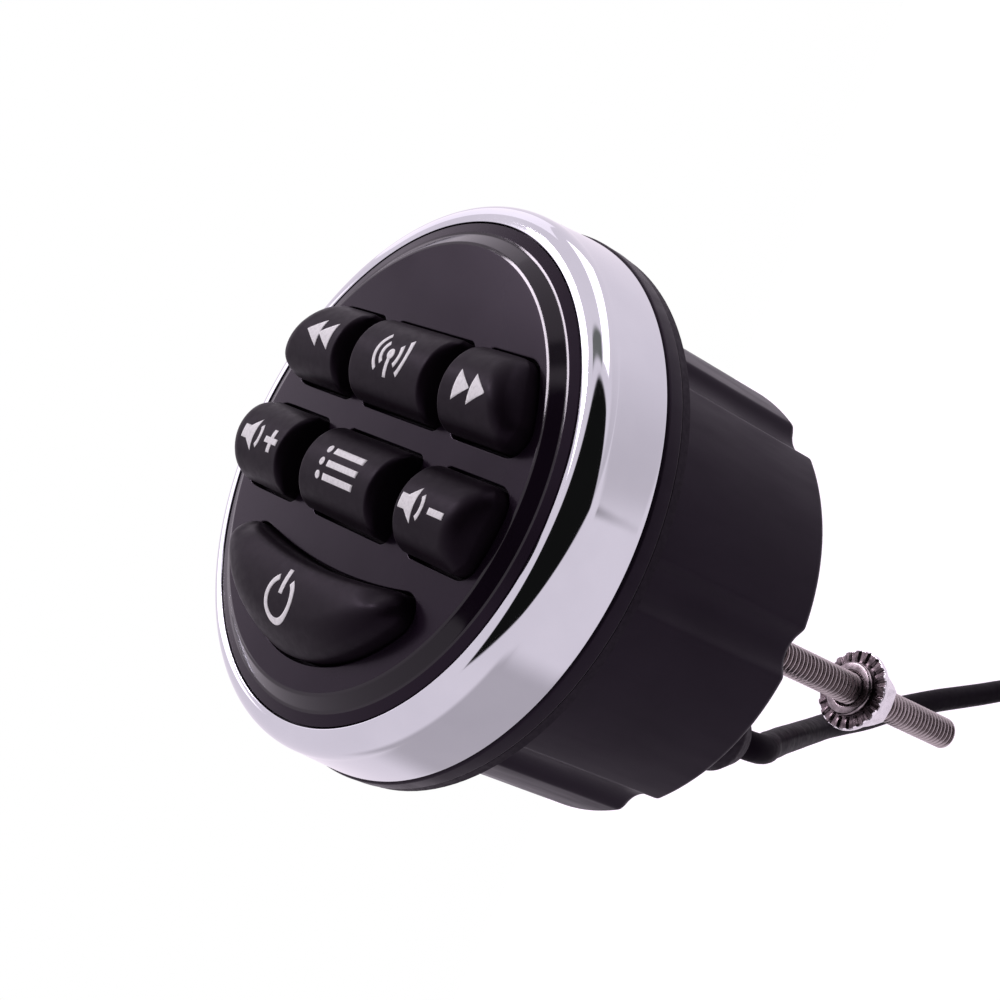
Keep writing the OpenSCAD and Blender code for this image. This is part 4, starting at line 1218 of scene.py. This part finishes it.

# %% [markdown]
# ## The washer and the nut
#
# The nut carries its washer with it: a collar goes through the washer and is rolled over, so the washer
# turns freely but can't fall off. The washer's front has radial teeth. Its top is a grid whose height has
# a toothed wave round the angle. The nut's sides are six flats, and a cone cuts their corners back, which
# gives the usual curved edges. The flats are bright. The faces at the front get darker copies of the same
# steel as painted shade, standing in for the dark head they mirror: the teeth darkest, the collar between.

# %% Shape of the washer
washer_low, washer_high = corners("lock_washer")
washer_r = washer_high[0]
TEETH = 20
TOOTH_DEPTH = 0.28
TOOTH_FADE = 0.3
COLLAR_R = 3.05
LIP_OVER = 0.4
RUN_GAP = 0.05
WASHER_COLUMNS = TEETH * 16
TOOTH_FROM = COLLAR_R + LIP_OVER + RUN_GAP


def toothed_washer():
    """A flat ring whose top is cut by teeth: the cut is a rounded wave round the angle, and it starts at
    the inner edge of the teeth."""
    z0, z1 = washer_low[2], washer_high[2]
    inner, outer = COLLAR_R + RUN_GAP, washer_r
    line = np.array([
        (inner, z1 - 0.12), (inner, z0 + 0.08), (inner + 0.08, z0), (outer - 0.2, z0),
        (outer - 0.06, z0 + 0.05), (outer, z0 + 0.2), (outer, z1 - 0.32), (outer - 0.05, z1 - 0.1),
        (outer - 0.14, z1), (outer - 0.5, z1), (TOOTH_FROM + 0.45, z1), (TOOTH_FROM + 0.2, z1 - 0.1),
        (TOOTH_FROM, z1 - 0.25), (inner + 0.12, z1 - 0.12), (inner, z1 - 0.12),
    ])
    wave = ease((0.5 - 0.5 * np.cos(TEETH * angles(WASHER_COLUMNS)) - 0.15) / 0.5)
    cut = np.clip((line[:, 1] - (z1 - TOOTH_FADE)) / TOOTH_FADE, 0, 1) * (line[:, 0] > TOOTH_FROM + 0.1)
    z = line[:, 1:] - TOOTH_DEPTH * cut[:, None] * wave[None]
    return round_grid(line[:, :1], z, WASHER_COLUMNS)


print("washer:", TEETH, "teeth from radius", round(TOOTH_FROM, 2), "to", round(washer_r, 2), "mm")

# %% Shape of the nut
nut_low, nut_high = corners("clamp_nut")
NUT_AF = 7.0
NUT_COLUMNS = 144


def hexagon_nut():
    """A nut turned row by row: the hexagon's radius is half its width over the cosine of the angle from
    the nearest flat's middle, and each end's corners are cut by a 30 degree cone. The collar and its
    rolled lip are round."""
    bottom, top = nut_low[2], washer_low[2] - RUN_GAP
    lip_top, bore = nut_high[2], stud_r + RUN_GAP
    hexagon = NUT_AF / 2 / np.cos((angles(NUT_COLUMNS) + TURN / 12) % (TURN / 6) - TURN / 12)
    end_r = NUT_AF / 2 - 0.05
    slope = math.tan(math.radians(30))
    rows = [
        (bore, lip_top - 0.2), (bore, bottom + 0.3), (bore + 0.3, bottom), (end_r, bottom),
        (hexagon, bottom + (hexagon - end_r) * slope), (hexagon, top - (hexagon - end_r) * slope),
        (end_r, top), (COLLAR_R, top),
    ]
    lip = rounded_line([
        (COLLAR_R, washer_low[2]), (COLLAR_R, washer_high[2] + RUN_GAP),
        (COLLAR_R + LIP_OVER, washer_high[2] + RUN_GAP, 0.2), (COLLAR_R + LIP_OVER, lip_top, 0.34),
        (bore + 0.35, lip_top, 0.2), (bore, lip_top - 0.3), (bore, lip_top - 0.2),
    ], 6)
    r, z = (np.stack([np.broadcast_to(v, NUT_COLUMNS) for v in kind]) for kind in zip(*rows, *lip))
    return round_grid(r, z, NUT_COLUMNS)


print("nut:", NUT_AF, "mm across its flats")

# %% Make the washer and the nut
TEETH_BELOW = 0.42
RIM_EDGE = 0.1

fastener_steel = new_finish("fastener_steel", (0.84, 0.81, 0.85), 0.28, 1.0)
shade(fastener_steel, 1.3, (0.77, 0.74, 0.78), (0.90, 0.87, 0.91), 0.32, 0.6, detail=4)
roughen(fastener_steel, 0.5, 0.2, 0.36)
grain(fastener_steel, 0.15, 0.003, detail=3)

# Painted shade: darker copies of the steel for the washer's teeth and the nut's collar, standing in for the
# dark head they mirror.
washer_painted_shade = new_finish("washer_painted_shade", (0.10, 0.08, 0.087), 0.28, 1.0)
shade(washer_painted_shade, 0.9, (0.055, 0.043, 0.048), (0.19, 0.155, 0.165), 0.35, 0.7)
roughen(washer_painted_shade, 0.5, 0.2, 0.36)
grain(washer_painted_shade, 0.15, 0.003, detail=3)

collar_painted_shade = new_finish("collar_painted_shade", (0.22, 0.19, 0.20), 0.22, 1.0)
shade(collar_painted_shade, 0.9, (0.16, 0.135, 0.142), (0.30, 0.265, 0.275), 0.35, 0.7)
roughen(collar_painted_shade, 0.5, 0.14, 0.3)
grain(collar_painted_shade, 0.15, 0.003, detail=3)

washer = make_piece("lock_washer_toothed", toothed_washer(), fastener_steel, "washer",
                    ("lock_washer",), sharp=35)
nut = make_piece("clamp_nut_hexagon", hexagon_nut(), fastener_steel, "nut",
                 ("clamp_nut",), sharp=28)

# The faces at the front get the painted shade: the washer's teeth and the nut's collar.
for piece, finish, height in (
    (washer, washer_painted_shade, washer_high[2] - TEETH_BELOW), (nut, collar_painted_shade, washer_high[2]),
):
    r, z = face_middles(piece)
    second_finish(piece, finish, (z > height) & (r < washer_r - RIM_EDGE))

# %% [markdown]
# ## The gland
#
# The gland is a soft rubber bush that seals the cable in the back wall. Outside it is a short rounded
# cone, in the wall a neck, and inside a lip that holds it.

# %% Make the gland
GLAND_NECK_R = 2.6
GLAND_TIP_R = 2.9
GLAND_STRAIGHT = 2.2
GLAND_COLUMNS = 72
GLAND_LOCK_R = GLAND_NECK_R + 0.25
gland_r = gland_high[0] - gland_x
bore_gland_r = CABLE_D / 2 + PRESS_GAP
gland_line = rounded_line([
    (bore_gland_r, gland_high[2] - 0.3), (bore_gland_r, gland_end_z), (GLAND_TIP_R, gland_end_z, 0.5),
    (gland_r, back_z - GLAND_STRAIGHT, 1.1), (gland_r, back_z, 0.2), (GLAND_NECK_R, back_z),
    (GLAND_NECK_R, floor_z), (GLAND_LOCK_R, floor_z), (GLAND_LOCK_R, gland_high[2], 0.2),
    (bore_gland_r, gland_high[2]), (bore_gland_r, gland_high[2] - 0.3),
], 9)

soft_rubber = new_finish("soft_rubber", (0.0060, 0.0050, 0.0066), 0.6, gloss=0.2)
shade(soft_rubber, 2.0, (0.0046, 0.0038, 0.0052), (0.0078, 0.0066, 0.0084))
roughen(soft_rubber, 0.5, 0.52, 0.7)
grain(soft_rubber, 0.1, 0.005)

make_piece("cable_gland_moulded", turned(gland_line, GLAND_COLUMNS, (gland_x, gland_y)), soft_rubber,
           nodes=("cable_gland",))
dress(soft_rubber, "rim_gasket", "face_seal", "keypad_mat")

# %% [markdown]
# ## Inside the head
#
# These pieces don't show, but they are there: the board with its pads, chip and small parts, the screws,
# the socket and its plug, the brass insert and the carbon pills. They keep their CAD shape and get a
# fitting finish each.

# %% Dress the inner pieces
carbon = new_finish("carbon", (0.010, 0.010, 0.011), 0.7)
roughen(carbon, 0.2, 0.6, 0.8)
dress(carbon, *["pill_" + key for key in KEYS])

board_mask = new_finish("board_mask", (0.020, 0.105, 0.045), 0.35)
shade(board_mask, 1.8, (0.012, 0.070, 0.030), (0.024, 0.125, 0.055), 0.45, 0.52, stretch=(6, 0.6, 1))
dress(board_mask, "circuit_board")

gold_plate = new_finish("gold_plate", (0.83, 0.62, 0.27), 0.28, 1.0)
roughen(gold_plate, 0.4, 0.22, 0.4)
dress(gold_plate, "contact_pads")

brass = new_finish("brass", (0.70, 0.50, 0.22), 0.32, 1.0)
shade(brass, 0.9, (0.52, 0.36, 0.16), (0.76, 0.55, 0.26), detail=4)
roughen(brass, 0.4, 0.25, 0.45)
dress(brass, "stud_insert")

chip_epoxy = new_finish("chip_epoxy", (0.018, 0.018, 0.019), 0.55)
grain(chip_epoxy, 0.1, 0.006)
dress(chip_epoxy, "controller_chip")

ceramic = new_finish("ceramic", (0.30, 0.26, 0.21), 0.45)
shade(ceramic, 0.4, (0.24, 0.20, 0.16), (0.36, 0.31, 0.26))
dress(ceramic, "board_parts")

socket_nylon = new_finish("socket_nylon", (0.72, 0.69, 0.62), 0.45)
shade(socket_nylon, 1.5, (0.66, 0.63, 0.56), (0.76, 0.73, 0.66))
dress(socket_nylon, "board_socket", "lead_plug")
dress(fastener_steel, "board_screws")

# %% Make the inner leads
LEAD_D = 0.9
LEAD_RING = 1.17
LEAD_SIDES = 12
LEAD_TURNS = [180, 110, -70, 0]
CONTACT_PITCH = 1.5
socket_low, socket_high = corners("lead_plug")
tail_z = corners("cable_tail")[1][2]


def inner_lead(k):
    """One lead: straight out of the jacket, over in a smooth change, and straight into its contact."""
    turn = math.radians(LEAD_TURNS[k])
    low = np.array([gland_x + LEAD_RING * math.cos(turn), gland_y + LEAD_RING * math.sin(turn), tail_z])
    middle = (socket_low + socket_high) / 2
    high = np.array([middle[0] + (k - 1.5) * CONTACT_PITCH, middle[1], socket_low[2]])
    t = np.linspace(0, 1, 41)[:, None]
    over = ease((t - 0.1) / 0.8)
    line = low + (high - low) * np.concatenate([over, over, t], axis=1)
    return tube(line, LEAD_D / 2, LEAD_SIDES, (0, 1, 0))


lead_red = new_finish("lead_red", (0.33, 0.022, 0.016), 0.4)
shade(lead_red, 0.8, (0.28, 0.018, 0.013), (0.38, 0.026, 0.019))
make_piece("inner_leads_round", join(*[inner_lead(k) for k in range(4)]), lead_red,
           nodes=("inner_leads",), sharp=60)

# %% [markdown]
# ## Light, floor and background
#
# The object stands in a white light tent, which is open towards the camera. Plating mirrors the whole
# tent, so its walls and its dark opening matter as much as the lamps. Softboxes light it from the upper
# left of the picture, from above and faintly from behind, and a small bright lamp in the first one draws
# thin lines on the polished edges. The background is white because rays from the camera, mirrors and
# glass see it white, not because more light falls on the object. The floor is a sheet of paper below the
# plug, and it keeps a faint shadow.

# %% Set the lamps
LIGHT_TINT = (1.0, 0.90, 1.02)
LAMP_DISTANCE = 0.6


def softbox(name, towards, along, width, height, level):
    """Area lamp in a direction from the object, with its width along another direction. A lamp of area A
    that is L times as bright as the white walls gives pi A L watts."""
    lamp = bpy.data.lights.new(name, "AREA")
    lamp.shape = "RECTANGLE"
    lamp.size, lamp.size_y = width, height
    lamp.energy = math.pi * width * height * level
    lamp.color = LIGHT_TINT
    away = Vector(towards).normalized()
    upright = away.cross(Vector(along)).normalized()
    turn = Matrix((upright.cross(away), upright, away)).transposed()
    stand = bpy.data.objects.new(name, lamp)
    stand.matrix_world = Matrix.Translation(away * LAMP_DISTANCE) @ turn.to_4x4()
    scene.collection.objects.link(stand)
    print(f"{name}: {lamp.energy:.2f} W at {[round(x, 2) for x in stand.location]}")


softbox("softbox_left", (-0.67, 0.261, 0.699), (-0.60, 0.18, -0.78), 0.20, 0.16, 3.2)
softbox("lamp_left", (-0.654, 0.292, 0.696), (-0.597, 0.405, -0.692), 0.21, 0.06, 20)
softbox("softbox_top", (0.0, 0.99, 0.03), (0.91, 0.0, 0.41), 0.62, 0.28, 1.7)
softbox("softbox_back", (-0.93, -0.06, 0.36), (0.05, 1.0, 0.0), 0.24, 0.22, 1.1)
softbox("softbox_upper", (-0.82, 0.55, 0.12), (0.56, 0.83, 0.0), 0.40, 0.34, 0.45)

# %% [markdown]
# The tent's opening is a patch of the world with straight edges. A direction lies in it when it is on the
# inner side of the plane through each edge, so a soft step for each plane and their product describe it.
# Only rays from surfaces see the opening: the camera itself looks away from it, at white. A narrow slit
# beside the opening, a grey wall and a grey card are patches of the same kind, and they draw the tones on
# the ring's shoulder and side.

# %% Helpers for the world
world = bpy.data.worlds.new("tent")
scene.world = world
world.use_nodes = True
sky = world.node_tree
direction = add(sky, "TexCoord").outputs["Generated"]


def combined(tree, operation, sockets):
    """Socket with several sockets put together, two at a time, by one operation."""
    total = sockets[0]
    for socket in sockets[1:]:
        step = add(tree, "Math", total, socket)
        step.operation = operation
        total = step.outputs[0]
    return total


def seen_directly(tree):
    """Socket that is 1 for rays from the camera, from mirrors and through glass, and 0 for the rest."""
    path = add(tree, "LightPath").outputs
    rays = [path["Is Camera Ray"], path["Is Glossy Ray"], path["Is Transmission Ray"]]
    return combined(tree, "MAXIMUM", rays)


def plane_normals(directions):
    """Unit normals of the planes through neighbouring directions, turned towards the patch's middle."""
    directions = np.array(directions)
    normals = normalised(np.cross(directions, np.roll(directions, -1, axis=0)))
    return normals * np.sign(normals @ directions.mean(axis=0))[:, None]


def inner_side(normal, soft):
    """Socket that runs from 0 to 1 across a plane through the world's middle, over a soft range."""
    height = add(sky, "VectorMath", direction, normal)
    height.operation = "DOT_PRODUCT"
    step = add(sky, "MapRange", Value=height.outputs["Value"], From_Min=-soft, From_Max=soft)
    step.interpolation_type = "SMOOTHSTEP"
    return step.outputs["Result"]


def patch_share(seen, softness):
    """Socket that is 1 for directions inside a patch with straight edges, and 0 outside."""
    return combined(sky, "MULTIPLY", [inner_side(*side) for side in zip(plane_normals(seen), softness)])


def background(level, colour=(1, 1, 1)):
    """World background of one colour and strength."""
    return add(sky, "Background", Color=(*colour, 1), Strength=level).outputs["Background"]


def mixed(share, first, second):
    """World background that is the first where the share is 0 and the second where it is 1."""
    return add(sky, "MixShader", share, first, second).outputs["Shader"]


print("world of patches ready")

# %% Set the world
AMBIENT = 0.85
OPENING_LEVEL = 0.008
SLIT_LEVEL = 0.2
OPENING_SOFT = 0.03
# Corners of the opening and of a slit beside it, as directions from the object
OPENING = [
    (-0.114, -0.434, 0.894), (-0.338, -0.053, 0.940), (-0.385, 0.087, 0.919), (-0.299, 0.301, 0.905),
    (0.172, 0.702, 0.691), (0.454, 0.860, 0.233), (0.826, 0.246, -0.508), (0.801, -0.444, 0.401),
]
SLIT = [(-0.242, 0.465, 0.851), (-0.282, 0.555, 0.783), (0.113, 0.904, 0.413), (0.282, 0.827, 0.487)]
# A grey wall at the right and a grey card in front, both low, with the softness of each of their edges
WALL = [(0.988, -0.054, -0.408), (0.655, 0.540, -0.615), (0.404, 0.672, -0.620), (0.499, 0.830, -0.250)]
WALL_SOFT = [0.008, 0.05, 0.4, 0.1]
WALL_LEVEL = 0.76
CARD = [
    (0.663, -0.686, -0.300), (0.458, -0.475, -0.750), (-0.300, -0.588, -0.750), (-0.433, -0.850, -0.300),
]
CARD_SOFT = [0.10, 0.05, 0.14, 0.15]
CARD_LEVEL = 0.62

walls = mixed(seen_directly(sky), background(AMBIENT, LIGHT_TINT), background(1, LIGHT_TINT))
for patch, softness, strength, colour in (
    (WALL, WALL_SOFT, WALL_LEVEL, LIGHT_TINT), (CARD, CARD_SOFT, CARD_LEVEL, LIGHT_TINT),
    (OPENING, [OPENING_SOFT] * len(OPENING), OPENING_LEVEL, (1, 1, 1)),
    (SLIT, [OPENING_SOFT] * len(SLIT), SLIT_LEVEL, (1, 1, 1)),
):
    walls = mixed(patch_share(patch, softness), walls, background(strength, colour))
camera_ray = add(sky, "LightPath").outputs["Is Camera Ray"]
sky.links.new(mixed(camera_ray, walls, background(1)), sky.nodes["World Output"].inputs["Surface"])
print("world with", len(OPENING), "edges to its opening")

# %% [markdown]
# The paper below is small, so that the ring's side mirrors the tent rather than the paper. A little light
# of its own keeps it white to the camera, and the shadow stays visible on it.

# %% Make the floor
FLOOR_HALF = 0.22
FLOOR_DROP = 2.0 * MM
FLOOR_LINES = 9
PAPER_GLOW = 0.5
CAMERA_GLOW = 0.3
floor_z_m = float(cad_bounds[0][2]) - FLOOR_DROP
u = np.linspace(-FLOOR_HALF, FLOOR_HALF, FLOOR_LINES)
floor_grid = np.stack(np.meshgrid(u, u, [floor_z_m], indexing="ij"), axis=-1)[:, :, 0]
floor_points, floor_quads = surface(floor_grid)
floor_mesh = bpy.data.meshes.new("floor")
floor_mesh.from_pydata(floor_points.tolist(), [], floor_quads[:, ::-1].tolist())
floor = bpy.data.objects.new("floor", floor_mesh)
scene.collection.objects.link(floor)

paper = new_finish("floor_paper", (0.5, 0.5, 0.5), 0.9, Specular_IOR_Level=0.0)
tree = paper.node_tree
seen = add(tree, "Math", seen_directly(tree), PAPER_GLOW)
power = add(tree, "Math", add(tree, "LightPath").outputs["Is Camera Ray"], CAMERA_GLOW, seen.outputs[0])
seen.operation, power.operation = "MULTIPLY", "MULTIPLY_ADD"
glow = add(tree, "Emission", Color=(*LIGHT_TINT, 1), Strength=power.outputs[0])
sheet = add(tree, "AddShader", tree.nodes["Principled BSDF"].outputs["BSDF"], glow.outputs["Emission"])
tree.links.new(sheet.outputs["Shader"], tree.nodes["Material Output"].inputs["Surface"])
floor_mesh.materials.append(paper)
print("floor", round(-floor_z_m / MM, 1), "mm below the panel seat")

# %% [markdown]
# ## Last update
#
# The view layer is updated once more, so that every piece stands in its place.

# %% Update the view layer
bpy.context.view_layer.update()
